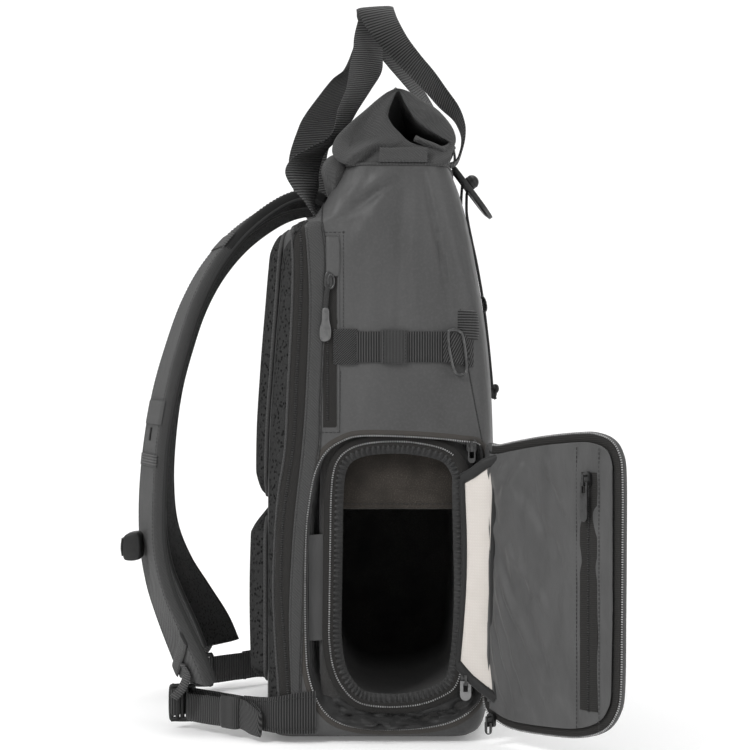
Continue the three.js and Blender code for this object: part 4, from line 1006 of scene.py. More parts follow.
def shoulder_straps():
    """Padded straps: a mesh pad with a cloth face, bound edges, stitches and sewn-on bands."""
    s = np.array([-1, -0.985, -0.93, -0.8, -0.5, 0, 0.5, 0.8, 0.93, 0.985, 1])
    rise = np.array([0.25, 0.62, 0.9, 1, 1, 1, 1, 1, 0.9, 0.62, 0.25])[None]
    rows = np.arange(STRAP_ROWS, dtype=float)[:, None]
    half = STRAP_THICK / 2
    pleat = 0.25 * np.sin(rows * 2.3) + 0.2 * np.sin(rows * 0.9 + 1)

    def pad(side):
        top = strap_point(side, rows, s[None], (half - 0.6) * rise)
        low = strap_point(side, rows, s[None], (pleat - half) * rise)
        return between(top, low)

    for piece in strap_pair("strap_pad", pad, MESH, "spacer_mesh", "shoulder_strap"):
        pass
    wrap = table(["across", "out"], [
        (-1.012, 2.0 - half), (-1.02, half - 2), (-1.0, half - 0.4), (-0.96, half + 0.2), (-0.8, half + 0.35),
        (0, half + 0.35), (0.8, half + 0.35), (0.96, half + 0.2), (1.0, half - 0.4), (1.02, half - 2),
        (1.012, 2.0 - half),
    ])
    share, out = columns_of(wrap, "across", "out")
    for name, first, last, look in (("strap_top", 1, strap_row(404), STRAP_TOP_CLOTH),
                                    ("strap_face", strap_row(405), STRAP_ROWS - 1, STRAP_TWILL)):
        steps = np.linspace(first, last, 110)[:, None]

        def cover(side):
            outer = strap_point(side, steps, share[None], out[None])
            inner = strap_point(side, steps, share[None] * 0.975, out[None] - 0.7)
            return between(outer, inner)

        strap_pair(name, cover, look, "twill")
    path_rows = np.linspace(0, STRAP_ROWS - 1, 150)
    line_rows = np.linspace(4, STRAP_ROWS - 3, 150)
    for edge, name in ((1, "front"), (-1, "back")):
        strap_pair(f"strap_binding_{name}",
                   lambda side: tube(strap_point(side, path_rows, edge * 0.985, 1.6 - half), 2.0, 10),
                   WEBBING, "webbing")

        def stitches(side):
            low, high = (strap_point(side, line_rows, edge * 0.86, half + rise) for rise in (0.3, 1.3))
            return blocks(low, high - low, STITCH_PITCH, STITCH)

        strap_pair(f"strap_stitch_{name}", stitches, THREAD, "twill")
    strap_sheet("strap_webbing_piece", strap_row(414), strap_row(403), half, 1.6, WEBBING, "webbing", 1.04,
                16)
    strap_sheet("strap_band", strap_row(274), strap_row(254), half, 1.5, STRAP_TWILL, "twill", 1.03, 16)
    strap_sheet("strap_loop_band", strap_row(229), strap_row(219), half, 1.6, WEBBING, "webbing", 1.03, 16)


shoulder_straps()


def back_pads():
    """Crowned mesh pads on the bag's back, with a bound edge and sewn channels."""
    for name, low, high, thickness, channels in (("back_pad", 196, 418, 11, 4),
                                                 ("lumbar_pad", 41, 177, 15, 2)):
        z = np.linspace(low, high, 70)
        level = (z - low) / (high - low)
        wide = 131 * (1 - 0.2 * np.clip(1 - np.minimum(level, 1 - level) / 0.1, 0, 1) ** 2)
        thick = thickness * (0.35 + 0.65 * np.sqrt(np.clip(np.minimum(level, 1 - level) / 0.09, 0, 1)))
        s = np.linspace(-1, 1, 61)
        crown = np.sqrt(np.clip(1 - np.abs(s) ** 16, 0, 1))
        groove = sum(np.exp(-((s - at) / 0.02) ** 2) for at in np.linspace(-0.7, 0.7, channels + 1))
        puff = 1 - 0.22 * groove
        bow = 1 + 0.10 * np.sin(level * math.pi)[:, None]
        face = bag_at(z)[0] - 0.6
        x = face[:, None] - thick[:, None] * (crown * puff)[None] * bow
        front = np.repeat(face[:, None], len(s), axis=1)
        top = np.stack([x, wide[:, None] * s[None], np.repeat(z[:, None], len(s), axis=1)], axis=-1)
        back = np.stack([front, wide[:, None] * s[None], np.repeat(z[:, None], len(s), axis=1)], axis=-1)
        pad = build(name + "_cover", between(top, back), MESH, "spacer_mesh", name)
        for side in (-1, 1):
            edge = np.stack([face - 1.2, side * (wide + 0.6), z], axis=1)
            build(f"{name}_edge_{'near' if side < 0 else 'far'}", tube(edge, 1.8, 8), TWILL, "twill")


back_pads()


# Camera cube, its zip and the cloth round it
CUBE_MOUTH = [
    (68, 218), (56, 234), (30, 241), (4, 242), (-17, 239), (-30, 232), (-37, 220), (-39.5, 199), (-40.3, 157),
    (-41, 105), (-41, 79), (-37.6, 56.7), (-30, 41), (-17, 29), (4, 25.5), (30, 27), (50, 33.7), (62, 43),
    (67, 62), (70, 96), (70.6, 130), (70, 157), (69, 200),
]


def camera_cube():
    mouth = closed_curve(CUBE_MOUTH)
    box = closed_curve([(76, 225), (60, 246), (10, 249.5), (-25, 249.5), (-45, 236), (-49.6, 200),
                        (-49.6, 60), (-46, 22), (-25, 6), (10, 5.5), (55, 5.5), (74, 18), (78.5, 60),
                        (78.5, 190)])
    inside = [(offset(mouth, -1.5), -149), (offset(mouth, -1.0), -146), (mouth, -138), (mouth, -60),
              (mouth, 40),
              (offset(mouth, -1), 118), (offset(mouth, -6), 125), (offset(mouth, -20), 126.4)]
    rim = [(box, 136), (box, 0), (box, -140), (offset(box, -2), -145.5), (offset(mouth, 5), -148.4),
           (offset(mouth, 2), -149.6)]
    rings = [at_y(p, y) for p, y in rim + inside]
    cube = build("cube_lining", loft(rings), LINING, "lining", "camera_cube")

    # Ruched tape just inside the zip
    path = evenly(offset(mouth, -3.2), 780, closed=True)
    turn = np.arange(len(path)) * 2 * math.pi / len(path)
    gather = np.sin(turn * 128 + 1.4 * np.sin(turn * 9))
    rings = []
    for share in np.linspace(0, 1, 9):
        swell = math.sin(share * math.pi)
        ring = offset(path, -(share - 0.2) * 8.2)
        y = -150.6 + 3.4 * share - swell * (1.9 + 1.3 * gather)
        rings.append(at_y(ring, y))
    build("ruched_tape", surface(rings, True), RUCHED, "lining")

    tape = [at_y(offset(mouth, d), -150.4 - lift)
            for d, lift in ((-4, 0.2), (-3.4, 0.9), (-0.5, 1.1), (5.2, 1.0), (6, 0.1))]
    n = len(mouth)
    build("cube_zip_tape", surface(tape, True), TAPE, "zip_tape")
    start, stop = int(n * 0.03), int(n * 0.80)
    teeth = at_y(offset(mouth, 0.4), -151.6)
    build("cube_zip_teeth", blocks(teeth[start:stop], (0, -1, 0), TOOTH_PITCH, TOOTH), TEETH, "zip_tape")


camera_cube()


def cube_divider():
    """Brushed padded divider: an upright face with a shelf behind it."""
    rings = []
    for depth, grow in ((8.0, -1.5), (7.0, 0.0), (1.8, 0.0), (0.4, -0.8), (0.0, -2.2)):
        outline = closed_curve([
            (69 + grow, 188), (69.4 + grow, 205), (67 + grow, 224), (56, 235.6 + grow), (30, 240.6 + grow),
            (4, 240.6 + grow), (-20, 238 + grow), (-34 - grow, 226), (-38.6 - grow, 205), (-40 - grow, 188),
            (-30, 185.9 - grow), (10, 185.9 - grow), (50, 185.9 - grow),
        ], 160)
        rings.append(at_y(outline, -134.0 + depth))
    face = loft(rings)
    shelf_ring = closed_curve([(-39.8, 187), (-39.8, 192.4), (-36, 193.5), (65, 193.5), (69, 192.4),
                               (69, 187), (65, 185.9), (-36, 185.9)],
                              60, 6)
    shelf = loft([at_y(shelf_ring, y) for y in (-127, -60, 0, 60, 126)])
    build("divider_pad", merged([face, shelf]), PADDING, "padding", "cube_divider")
    line = np.array([(v, -134.2, 190.2) for v in np.linspace(-36, 66, 60)])
    build("divider_stitches", blocks(line, (0, -1, 0), STITCH_PITCH, STITCH), THREAD, "padding")


cube_divider()


def noise_field(seed, size, count=60):
    """A smooth made-up field over (a, b) as a sum of a few waves with seeded directions."""
    pick = np.random.default_rng(seed)
    angle = pick.uniform(0, math.pi, count)
    length = pick.uniform(0.6, 2.2, count) * size
    phase = pick.uniform(0, 2 * math.pi, count)

    def field(a, b):
        total = 0
        for k in range(count):
            way = a * np.cos(angle[k]) + b * np.sin(angle[k])
            total = total + np.sin(way * 2 * math.pi / length[k] + phase[k])
        return total / math.sqrt(count)
    return field


def opening_cloth():
    """Thin cloth that closes the gap between the bag's opening and the cube, bunched along its foot."""
    opening = closed_curve(OPENING)
    mouth = closed_curve(CUBE_MOUTH)
    field = noise_field(3, 26)
    fine = noise_field(8, 11)
    rings = []
    for share in np.linspace(0, 1, 22):
        ring = opening * (1 - share) + offset(mouth, 5) * share
        low = np.clip((60 - ring[:, 1]) / 40, 0, 1)
        bulge = math.sin(share * math.pi)
        depth = 20 * bulge * (1 - low) + 3 * bulge * low
        folds = field(ring[:, 0] * 0.5, ring[:, 1] * 1.3) * 2.6 + fine(ring[:, 0], ring[:, 1] * 2) * 1.3
        folds = folds * bulge
        y = -154.4 * (1 - share) - 149.5 * share + depth + folds * (0.45 + 1.7 * low)
        rings.append(at_y(ring, y))
    # The cloth's dark colour is partly its own and partly painted shade for the deep shadow in the gap round
    # the cube.
    cloth = build("opening_cloth", surface(rings, True), DARK_NYLON_AND_PAINTED_SHADE, "nylon",
                  [f"opening_skirt_{side}" for side in ("back", "front", "low", "high")])
    solid = cloth.modifiers.new("thickness", "SOLIDIFY")
    solid.thickness = 0.6 * MM
    # A lighter nylon patch on the cloth is painted light: it stands for the lit end of the laptop wall seen
    # through the gap.
    x, z = np.meshgrid(np.linspace(-58.4, -46.5, 8), np.linspace(79, 166, 40))
    patch = np.stack([x, -147.6 + 0.4 * np.sin(z / 7), z + (x + 52) * 0.05], axis=-1)
    build("painted_light_patch", surface(patch), NYLON, "nylon")
    tape_rows = [(5.6, -0.9), (4.6, 0.25), (1.0, 0.35), (0.2, -0.4)]
    tape = [near_point(offset(opening, d)[:, 0], offset(opening, d)[:, 1], out) for d, out in tape_rows]
    build("opening_zip_tape", surface(tape, True), OPENING_TAPE, "zip_tape")
    line = evenly(opening, 700, closed=True)
    skin_blocks("opening_zip_teeth", line[:int(len(line) * 0.86)], TOOTH_PITCH, TOOTH, TEETH, "zip_tape",
                out=0.5)


opening_cloth()

# Side door: along is from the hinge line, out is positive away from the viewer
DOOR_AT, DOOR_ANGLE = (84.5, -151), math.radians(48)


def on_door(along, out, z):
    along, out, z = np.broadcast_arrays(np.asarray(along, float), out, z)
    c, s = math.cos(DOOR_ANGLE), math.sin(DOOR_ANGLE)
    return np.stack([DOOR_AT[0] + along * c + out * s, DOOR_AT[1] - along * s + out * c, z], axis=-1)


DOOR_OUT = np.array(on_door(0, -1, 0) - on_door(0, 0, 0)).ravel()
DOOR_EDGE = [
    (1, 236), (20, 241), (64, 248.5), (104, 252.6), (122, 252.6), (138, 248), (147, 238), (150.5, 220),
    (150.5, 160), (150, 108), (149, 57), (144.5, 38), (131, 23), (104, 14), (64, 11), (35, 11), (17, 15),
    (2, 25), (0, 60), (0, 180),
]


def side_door():
    edge = closed_curve(DOOR_EDGE, 260)

    def bow(path):
        along, up = np.clip(path[:, 0] / 150, 0, 1), np.clip((path[:, 1] - 10) / 243, 0, 1)
        return 1.5 * np.sin(along * math.pi) * np.sin(up * math.pi)

    rings = []
    for grow, out in ((-14, 0.2), (-6, 0.2), (-1.5, 0.2), (0, 1.5), (0, 3.6), (-1.5, 5.2), (-8, 5.6),
                      (-40, 6.6)):
        p = offset(edge, grow)
        rings.append(on_door(p[:, 0], out + (bow(p) if out > 4 else 0), p[:, 1]))
    panel = build("door_cover", loft(rings), COATED, "coated_fabric", "door_panel")
    tape = [on_door(offset(edge, d)[:, 0], -out, offset(edge, d)[:, 1])
            for d, out in ((-9, 0.1), (-8.6, 1.0), (-2.4, 1.2), (-1.6, 0.3))]
    start, stop = int(len(edge) * 0.02), int(len(edge) * 0.80)
    build("door_zip_tape", surface(np.array(tape)[:, start:stop]), TAPE, "zip_tape", "door_zip")
    line = offset(edge, -0.8)[start:stop]
    build("door_zip_teeth", blocks(on_door(line[:, 0], -0.4, line[:, 1]), DOOR_OUT, TOOTH_PITCH, TOOTH),
          TEETH, "zip_tape")


side_door()


DOOR_MIDDLE = 130
POCKET_ZIP = 119  # from the hinge line to the middle of the pocket's zip
# Creases of the sleeve on the door, in (along, z): from, to, half width and height
SLEEVE_CREASES = [
    ((14, 150), (78, 52), 4, 3.6), ((16, 140), (56, 36), 3.5, 3.0), ((20, 190), (60, 238), 5, 2.6),
    ((12, 176), (96, 96), 5, 2.4), ((14, 120), (44, 28), 3, 2.4), ((40, 214), (92, 150), 6, -2.0),
    ((18, 206), (40, 240), 4, 2.2), ((60, 120), (98, 40), 6, 2.0), ((12, 96), (30, 30), 3, 2.2),
    ((70, 236), (98, 190), 5, 1.6),
]


def door_sleeve():
    """Thin nylon sleeve on the door's inner face: a loose sheet with soft slanting folds."""
    inner = offset(closed_curve(DOOR_EDGE, 400), -8.0)
    lower, upper = (side[np.argsort(side[:, 0], kind="stable")]
                    for side in (inner[inner[:, 1] <= DOOR_MIDDLE], inner[inner[:, 1] > DOOR_MIDDLE]))
    field, fine = noise_field(21, 60, 40), noise_field(5, 17, 50)
    points = []
    for a in np.linspace(11, 142, 90):
        low, high = (np.interp(a, side[:, 0], side[:, 1]) for side in (lower, upper))
        z = np.linspace(low, high, 150)
        level = (z - low) / (high - low)
        edge_fade = np.clip(np.minimum(level, 1 - level) * 16, 0, 1)
        edge_fade = edge_fade * min(1, (142 - a) / 9) * min(1, (a - 8) / 12)
        zone = np.clip((104 - abs(a - 50) * 0.4) / 100, 0, 1)
        wave = field(a + z * 0.45, z * 0.55) * 1.8 + fine(a * 1.2 + z * 0.3, z * 0.6) * 0.8
        crease = folded(a, z, SLEEVE_CREASES)
        strip = 1 - 0.85 * math.exp(-((a - POCKET_ZIP) / 15) ** 4)
        out = 3.6 + (wave * zone * strip + crease * strip + 1.0) * edge_fade
        points.append(on_door(a, -np.maximum(out, 0.9), z))
    points = np.array(points)
    sleeve = build("sleeve", surface(points), SLEEVE_NYLON, "nylon", "door_sleeve")
    solid = sleeve.modifiers.new("thickness", "SOLIDIFY")
    solid.thickness = 0.5 * MM
    hem = build("sleeve_hem", tube(points[0][4:-4], 1.6, 8), SLEEVE_NYLON, "nylon")
    z = np.linspace(38, 222, 60)
    profile = [(-9.4, -1.0), (-8.8, 0.2), (-1.2, 0.35), (0, 0.1), (1.2, 0.35), (8.8, 0.2), (9.4, -1.0)]
    tape = [on_door(POCKET_ZIP + d, -4.6 - out, z) for d, out in profile]
    build("pocket_zip_tape", surface(tape), TAPE, "zip_tape", "pocket_zip")
    build("pocket_zip_teeth", blocks(on_door(POCKET_ZIP, -4.7, z), DOOR_OUT, TOOTH_PITCH, (1.1, 2.4, 0.9)),
          THREAD, "zip_tape")
    for name, at in (("hinge", POCKET_ZIP - 12), ("free", POCKET_ZIP + 11)):
        line = on_door(at, -5.0, np.linspace(24, 240, 90))
        build(f"pocket_stitch_{name}", blocks(line, DOOR_OUT, STITCH_PITCH, STITCH), THREAD, "nylon")


door_sleeve()


def cube_door():
    """Pale padded flap between the cube's front edge and the door's sleeve, bound with dark cloth."""
    back = spline([(64, -151.6, 60), (67, -152.5, 92), (69.4, -153, 130), (69.6, -153, 167),
                   (67.6, -152.5, 212)],
                  10)
    front = spline([(94.5, -165, 34), (92.8, -163.5, 60), (91, -162.5, 100), (91, -162.5, 150),
                    (93, -163.5, 204), (96.5, -165.5, 229)],
                   8)
    front = evenly(front, 41)
    share = np.linspace(0, 1, 17)
    grid = back[:, None] * (1 - share)[None, :, None] + front[:, None] * share[None, :, None]
    level = np.linspace(0, 1, len(back))
    ends = np.minimum(1, np.minimum(level, 1 - level) * 9)[:, None]
    puff = np.sin(share * math.pi)[None] ** 0.6 * ends ** 0.6
    top = grid + np.array([-0.35, -0.94, 0]) * (2.6 * puff)[..., None]
    low = grid + np.array([0.35, 0.94, 0]) * 1.6
    flap = build("pale_flap", between(top, low), PALE, "pale_lining", "cube_door")
    foot = evenly(np.vstack([back[:1], [(74, -156, 49)], [(84, -161, 41)], front[:1]]), 1.5)
    head = evenly(np.vstack([back[-1:], [(76, -157, 217)], [(86, -161.5, 225)], front[-1:]]), 1.5)
    for name, path, radius in (("back", back + [-0.6, -1.0, 0], 2.4), ("front", front + [0.6, -1.4, 0], 2.2),
                               ("low", foot, 4.2), ("high", head, 4.6)):
        build(f"flap_binding_{name}", tube(path, radius, 12, 0.7), DARK_NYLON_AND_PAINTED_SHADE, "lining")


cube_door()

# Compression straps on both sides: patch, strap, keeper and ring at one level
STRAP_LEVEL = 320


def side_band(name, xs, half, out, look, stands_for, slant=0.0, thickness=WEB, crown=0.3, drop=None):
    """A webbing piece across the side panels, through the given x places."""
    xs = np.asarray(xs, float)
    drop = np.zeros(len(xs)) if drop is None else np.asarray(drop, float)
    out = np.broadcast_to(out, len(xs))
    a = near_point(xs, STRAP_LEVEL + half + drop, out)
    b = near_point(xs, STRAP_LEVEL - half + drop, out)
    shape, uv = band(a, b, thickness, 6, 10, crown, slant=slant)
    return pair(name, shape, look, "webbing", stands_for, uv=uv)


def compression_straps():
    side_band("side_patch", [-38, -31, -25, -18], 14.5, [0.4, 1.6, 1.9, 1.2], SIDE_WEBBING,
              "strap_patch", 1.1)
    side_band("side_strap", np.linspace(-19, 56, 12), 12.5, 1.5 + 0.25 * np.sin(np.arange(12) * 1.9),
              SIDE_WEBBING, "compression_strap")
    side_band("side_keeper", [1.6, 2.6, 8, 16, 21.6, 22.4], 13.6, [1.6, 3.1, 3.4, 3.4, 3.1, 1.6],
              WEBBING_FLAT, "strap_keeper")
    side_band("side_strap_fold", [52, 58, 64, 70, 74.5], 12.6, [2.2, 4.4, 3.6, 1.6, 0.2], SIDE_WEBBING,
              None, 0.5, drop=[0, -0.6, -1.6, -2.6, -3.4])
    side_band("side_strap_root", [66, 71, 76], 13.4, [1.4, 1.2, 0.0], SIDE_WEBBING, None, 0.4,
              drop=[-1.5, -2.6, -3.4])
    rows = [(55.8, 331), (56.6, 318), (60.4, 301.5), (63.8, 297.6), (68.6, 298.2), (69.8, 303), (68.6, 318),
            (66.4, 330), (62.6, 333.4), (58.2, 333.6)]
    lift = [5.6, 5.4, 5.0, 4.8, 4.0, 3.6, 3.8, 4.2, 4.8, 5.4]
    path = spline(near_point([r[0] for r in rows], [r[1] for r in rows], lift), 8, closed=True)
    pair("side_ring", tube(np.vstack([path, path[:1]]), 1.35, 10), BRIGHT_METAL, "dark_metal",
         "compression_ring")
    for number, x in enumerate((-36.2, -20.4, 3.2, 20.8)):
        z = np.linspace(STRAP_LEVEL - 11, STRAP_LEVEL + 11, 12)
        out = 3.2 if number < 2 else 4.6
        pair(f"side_strap_stitch_{number}",
             blocks(near_point(np.full(12, x), z, out), (0, -1, 0), 2.6, (1.7, 0.5, 0.4)),
             THREAD, "webbing")
    skin_patch("side_loop", [(63.5, 350.5), (63.2, 342), (63.4, 334), (63.8, 326)],
               [(80, 350), (81.5, 342), (82, 333), (80.6, 325)], SLANT_WEBBING, "webbing", 2.2, 8, 6,
               both=True, edge=6)


compression_straps()

# Front closure: the hook plate's upper end, its tilt and size, as in the CAD part
HOOK_TOP, HOOK_TILT = (HALF_DEPTH * 0.605 + FRONT_BULGE + 2.2, BAG_HEIGHT + 13), math.radians(-53)
HOOK_WIDE, HOOK_THICK, BALL, BALL_ALONG = 20, 2.5, 6.5, 20


def on_hook(along, across, out):
    along, across, out = np.broadcast_arrays(np.asarray(along, float), across, out)
    c, s = math.cos(HOOK_TILT), math.sin(HOOK_TILT)
    return np.stack([HOOK_TOP[0] + along * c - out * s, across, HOOK_TOP[1] + along * s + out * c], axis=-1)


def front_closure():
    """Hook plate, strap, ball and loop that hold the rolled top down."""
    outer = closed_curve([(0.5, -7), (0.5, 7), (3, 9.8), (20, 10), (44, 9.6), (53, 7), (56.6, 0), (53, -7),
                          (44, -9.6), (20, -10), (3, -9.8)],
                         80, 6)
    turn = np.linspace(-math.pi, math.pi, 80, endpoint=False)
    slot = evenly(np.stack([5.7 + 2 * np.cos(turn), 6.5 * np.sin(turn)], axis=1), 80, closed=True)
    start = int(np.argmin(np.linalg.norm(outer - [0.5, 0], axis=1)))
    outer = np.roll(outer, -start, axis=0)
    slot = np.roll(slot, -int(np.argmin(slot[:, 0])), axis=0)
    if np.sign(outer[8, 1]) != np.sign(slot[8, 1]):
        slot = np.roll(slot[::-1], 1, axis=0)
    half = HOOK_THICK / 2 + 0.3
    steps = [(0, -half), (0, half), (0.12, half + 0.5), (0.97, half), (1, half - 0.5), (1, -half + 0.5),
             (0.97, -half), (0.1, -half - 1.4)]
    rings = [on_hook(*((outer * (1 - t) + slot * t).T), out) for t, out in steps]
    build("hook_frame", loft(rings, wrap=True), METAL, "dark_metal", "hook_plate", sharp=35)
    level = np.linspace(0, math.pi, 22)
    groove = 1 - 0.10 * np.exp(-((level - math.pi / 2) / 0.10) ** 2)
    centre = 5.4
    angle = np.linspace(0, 2 * math.pi, 28, endpoint=False)
    rings = []
    for t, g in zip(level[1:-1], groove[1:-1]):
        radius = BALL * math.sin(t) * g
        rings.append(on_hook(BALL_ALONG + radius * np.cos(angle), radius * np.sin(angle),
                             centre - BALL * math.cos(t)))
    build("toggle_ball", loft(rings), PLASTIC, "hard_plastic", "closure_ball")
    x, z = HOOK_TOP
    line = [(x - 10.9, z + 12.5), (x - 7.3, z + 5), (x - 0.7, z + 0.9), (x + 2.0, z - 1.6)]
    a = [(p, -HOOK_WIDE / 2 + 0.5, q) for p, q in line]
    b = [(p, HOOK_WIDE / 2 - 0.5, q) for p, q in line]
    shape, uv = band(a, b, WEB, 6, 8, 0.2)
    build("hook_strap", shape, WEBBING, "webbing", "closure_strap", uv=uv)
    tip = on_hook(17, 0, -HOOK_THICK / 2 - 1.4)
    root = np.interp(449, BAG[:, 0] * BAG_HEIGHT, BAG[:, 2]) * HALF_DEPTH + FRONT_BULGE + 1.4
    line = [(root, 450), (root + 0.2, 456), (tip[0], tip[2])]
    shape, uv = band([(p, -7, q) for p, q in line], [(p, 7, q) for p, q in line], WEB, 6, 8, 0.2)
    build("bag_loop", shape, WEBBING, "webbing", "front_loop", uv=uv)


front_closure()

# Cord from the ball down the bag's front, with the CAD part's route
CORD_ROUTE = [
    (78.4, 0, 458.5), (78.3, 0, 453), (78.3, 0, 447.5), (78.5, 0.4, 442), (79.4, 0.8, 436), (80.7, 1.2, 429),
    (82.4, 1.6, 421), (84.1, 2.0, 413), (86.1, 2.2, 404), (87.9, 2.2, 395), (89.7, 2.0, 385),
    (91.6, 1.6, 374), (93.4, 1.0, 362), (95.0, 0.4, 350), (96.5, -0.2, 337), (97.9, -0.6, 324),
    (99.2, -0.8, 311), (100.3, -0.8, 299), (101.2, -0.6, 288.5),
]
CORD_DIAMETER = 2.6


def closure_cord():
    path = spline(CORD_ROUTE, 6)
    strand = build("cord_line", tube(path, CORD_DIAMETER / 2, 12), BRAID, "cord", "closure_cord")
    end = path[-1]
    t = np.linspace(0, 2 * math.pi, 72)
    loop = np.stack([np.sin(t) + 2 * np.sin(2 * t), -np.sin(3 * t) * 1.3,
                     (np.cos(t) - 2 * np.cos(2 * t)) * 1.6], axis=1)
    above = spline([end, end + [0.3, 0, -2], end + [1.2, 0, -5]], 4)
    below = spline([end + [1.4, 0, -8], end + [2.2, -1.2, -11], end + [3.2, -1.4, -13.2]], 4)
    knot = merged([tube(loop * 1.25 + end + [1.2, 0, -5.4], 1.7, 10), tube(above, 1.5, 10),
                   tube(below, 1.4, 10)])
    tied = build("cord_stop", knot, BRAID, "cord", "cord_knot")
    rise = spline([path[0], path[0] + [0.6, 0, 4], path[0] + [1.4, 0, 7.5]], 4)
    neck = build("cord_neck", tube(rise, CORD_DIAMETER / 2, 12), BRAID, "cord")


closure_cord()


def front_tab():
    """Small webbing tab on the bag's front."""
    z = np.array([366.0, 363, 358, 354, 352])
    front = np.interp(z, BAG[:, 0] * BAG_HEIGHT, BAG[:, 2]) * HALF_DEPTH + FRONT_BULGE * 0.9
    lift = np.array([0.6, 2.6, 3.2, 2.6, 0.6])
    shape, uv = band(np.stack([front + lift, np.full(5, -52.0), z], 1),
                     np.stack([front + lift, np.full(5, -34.0), z], 1), WEB)
    build("front_webbing_tab", shape, WEBBING, "webbing", uv=uv)


front_tab()

# Lower webbing of the harness: the lock, the flat run, the folded tail, its keeper and the wing on the bag
LOCK = (-168, -90)
WEB_START, WEB_END = np.array([-157.6, -90.0]), np.array([-113.0, -130.5])


def beside_web(along, out, z):
    """A place beside the lower webbing: along it from the lock, and out mm towards the viewer."""
    run = unit(WEB_END - WEB_START)
    along, out = (np.asarray(v, float)[..., None] for v in (along, out))
    at = WEB_START + run * along + np.array([run[1], -run[0]]) * out
    return np.concatenate([at, np.broadcast_to(np.asarray(z, float), at.shape[:-1])[..., None]], axis=-1)


def web_run(name, rows, look, slot, stands_for, thickness=WEB, slant=0.0):
    """A band on edge along the lower webbing, from rows of along, out, low and high."""
    rows = np.asarray(rows, float)
    a, b = beside_web(rows[:, 0], rows[:, 1], rows[:, 2]), beside_web(rows[:, 0], rows[:, 1], rows[:, 3])
    shape, uv = band(a, b, thickness, 8, 10, 0.3, slant=slant)
    return pair(name, shape, look, slot, stands_for, uv=uv)


def lower_webbing():
    web_run("harness_webbing", [(-1, 0, 6, 30.5), (14, 0.2, 5.6, 30.6), (32, 0.1, 5.4, 30.6),
                                (52, 0, 5.5, 30.5), (62, -1, 6, 30)],
            SIDE_WEBBING, "webbing", "lower_webbing")
    web_run("folded_tail", [(48, 2.6, 5, 28.6), (30, 2.9, 4.6, 28), (8, 3.0, 4.4, 28), (0.2, 4.4, 4.4, 27.6),
                            (-1.4, 6.2, 4.2, 27.2), (0.8, 8.2, 4.0, 27), (12, 8.6, 3.8, 27.4),
                            (28, 7.6, 3.6, 27.8), (44, 6.2, 4, 28.4), (56, 5.2, 4.6, 28.6)],
            SIDE_WEBBING, "webbing", "webbing_tail", 1.9)
    web_run("tail_keeper", [(41, 1.4, 4.2, 30.8), (42, 8.2, 3.6, 30.2), (50, 8.6, 3.4, 30.4),
                            (59, 8.2, 3.6, 30.6), (60.4, 1.2, 4.2, 30.8)],
            WEBBING_FLAT, "webbing", None)
    web_run("tail_end", [(58, 4.6, 4.4, 28.6), (66, 5.4, 3.4, 28.4), (76, 7.4, 1.6, 26), (86, 8.4, 1.0, 22),
                         (88, 7.6, 1.0, 21), (84, 5.6, 3.0, 24),
                         (72, 3.4, 5, 28)], SIDE_WEBBING, "webbing", None, 1.9, 0.4)
    rows = np.array([(-112.6, -131.0, 5.0, 31), (-98, -144, 4.5, 32), (-84, -154.4, 4.0, 34),
                     (-70, -156.8, 4.0, 37), (-52, -156.4, 4.0, 39)])
    a, b = rows[:, [0, 1, 2]], rows[:, [0, 1, 3]]
    shape, uv = band(a, b, WEB, 8, 10, 0.3)
    pair("harness_wing", shape, WING_WEBBING, "webbing", "anchor_wing", uv=uv)
    for number, share in enumerate((0.12, 0.88)):
        line = evenly(spline(a * (1 - share) + b * share + [0, -1.5, 0], 6), 1.5)
        pair(f"wing_stitch_{number}", blocks(line, (0, -1, 0), STITCH_PITCH, STITCH), THREAD, "twill")


lower_webbing()


def ladder_locks():
    """Moulded lock with two bars, seen from its side."""
    x, y = LOCK
    outer = closed_curve([(x - 9.4, 6), (x - 9.4, 30), (x - 6, 32), (x + 6, 32), (x + 9.4, 30), (x + 9.4, 6),
                          (x + 6, 4), (x - 6, 4)], 72, 6)
    parts = []
    for shift in (-4.3, 4.3):
        for depth, thick in ((-3.4, 1.0), (2.4, 1.0)):
            bar = [(x + shift + dx, y + depth, z)
                   for dx, z in ((0, 5), (0.4, 12), (0.5, 18), (0.4, 25), (0, 31))]
            parts.append(tube(spline(bar, 4), 1.5, 10))
    rim = at_y(outer, y)
    parts.append(tube(np.vstack([rim, rim[:1]]), 2.1, 12))
    bar = [(x, y, 5), (x, y - 1.4, 12), (x, y - 1.8, 18), (x, y - 1.4, 25), (x, y, 31)]
    parts.append(tube(spline(bar, 6), 1.9, 12))
    pair("lock_frame", merged(parts), PLASTIC, "hard_plastic", "ladder_lock")
    rows = [(-170, -93.5, 8, 30), (-176, -92, 7, 30.5), (-178.6, -89.5, 6.6, 30.6), (-176, -86.8, 7, 30.4),
            (-166, -86.2, 7.4, 30), (-158, -88.4, 6.6, 30.2)]
    shape, uv = band([(r[0], r[1], r[2]) for r in rows], [(r[0], r[1], r[3]) for r in rows], WEB, 8, 8)
    pair("lock_webbing", shape, SIDE_WEBBING, "webbing", uv=uv)


ladder_locks()


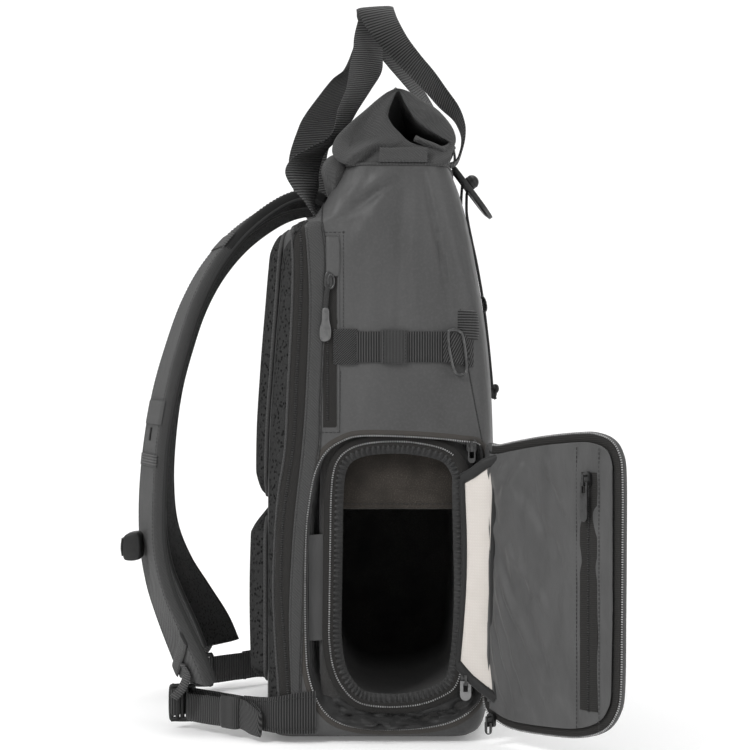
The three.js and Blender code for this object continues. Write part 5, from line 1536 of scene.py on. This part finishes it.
def strap_ends():
    """Slanting webbing across the strap's foot, its loop, and the webbing that goes down to the lock."""
    share = np.linspace(0, 1, 30)
    across = 0.99 - 1.98 * share
    level = 86 - 34 * share
    high, low = (np.array([strap_row(v - drop) for v in level]) for drop in (0, 11))
    out = STRAP_THICK / 2 + 1.6
    high, low = (strap_point("near", row, across, out) for row in (high, low))
    shape, uv = band(high, low, 1.8, 1, 8, 0.2)
    pair("strap_slant", shape, SIDE_WEBBING, "webbing", uv=uv)
    start = strap_point("near", strap_row(56), -0.15, STRAP_THICK / 2 + 1.8)
    wide = np.array([4.2, -11.5, 0])
    rows = [start, start + [5, -2.4, -9], start + [1.5, -4.4, -20], start + [-6, -5, -29]]
    shape, uv = band([r - wide for r in rows], [r + wide for r in rows], 2.0, 8, 8, 0.4)
    pair("strap_foot_webbing", shape, SIDE_WEBBING, "webbing", uv=uv)
    # A dark tube along the strap's slit: painted shade in the slit.
    slit_rows = [strap_row(v) for v in np.linspace(251, 240, 8)]
    strap_pair("strap_slit_shade",
               lambda side: tube(strap_point(side, slit_rows, 0.0, STRAP_THICK / 2 + 1.3), 0.9, 8),
               DARK_NYLON_AND_PAINTED_SHADE, "lining")


strap_ends()


def chest_sliders():
    """Moulded slider of the chest strap on each shoulder strap."""
    outline = [(-216.5, 159), (-212, 163), (-205, 163.4), (-202.4, 159), (-202.0, 144), (-204, 141),
               (-212, 140), (-216.8, 143)]
    ribs = [tube(spline([(-217.3, y, 144), (-218.2, y, 151), (-217.3, y, 159)], 6), 1.2, 8)
            for y in (-101, -94, -87)]
    shape = merged([slab(outline, -104, 24, 1.6), *ribs])
    pair("chest_slide", shape, PLASTIC, "hard_plastic", "chest_slider")


chest_sliders()


def laptop_panel():
    """Padded wall between the camera cube and the laptop sleeve."""
    outline = [(-62.2, 7), (-62.4, 60), (-62.4, 250), (-62.4, 396), (-61, 403.5), (-56, 403.5), (-54.6, 396),
               (-54.6, 250), (-54.6, 60), (-54.8, 7)]
    made = build("laptop_divider", slab(outline, -144.8, 289.6, 1.6, 4.0), DARK_NYLON_AND_PAINTED_SHADE, "lining",
                 "laptop_wall")


laptop_panel()


for node in ("cube_slider", "pocket_slider", "door_low_slider", "door_top_slider", "pocket_pull",
             "door_low_pull", "door_top_pull", "cube_pull"):
    materials = frame["nodes"][node].data.materials
    materials.clear()
    materials.append(RUBBER if node == "cube_pull" else METAL)


# Stage and light
def stage():
    profile = [(-2600, 0), (700, 0), (1500, 60), (2100, 300), (2500, 800), (2650, 1500), (2700, 3200)]
    curve = spline(profile, 14)
    rows = [[(x, y, z) for y, z in curve] for x in (-4000, 4000)]
    floor = build("floor", surface(rows), floor_look(), "coated_fabric")
    floor.parent = None
    del floor["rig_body"]
    del floor["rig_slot"]
    world = bpy.data.worlds.new("studio")
    scene.world = world
    world.use_nodes = True
    world.node_tree.nodes["Background"].inputs["Color"].default_value = (1, 1, 1, 1)
    world.node_tree.nodes["Background"].inputs["Strength"].default_value = 0.55

    def area(name, place, aim, size, power):
        data = bpy.data.lights.new(name, "AREA")
        data.size = size
        data.energy = power
        light = bpy.data.objects.new(name, data)
        light.location = place
        direction = np.array(aim, float) - np.array(place, float)
        light.rotation_euler = Vector(direction).to_track_quat("-Z", "Y").to_euler()
        scene.collection.objects.link(light)

    area("key", (-1.5, -1.7, 1.9), (0, 0, 0.3), 0.9, 40)
    area("fill", (1.9, -1.5, 1.0), (0, 0, 0.3), 1.4, 16)
    area("top", (0.1, 0.1, 2.2), (0, 0, 0.3), 1.4, 18)


stage()
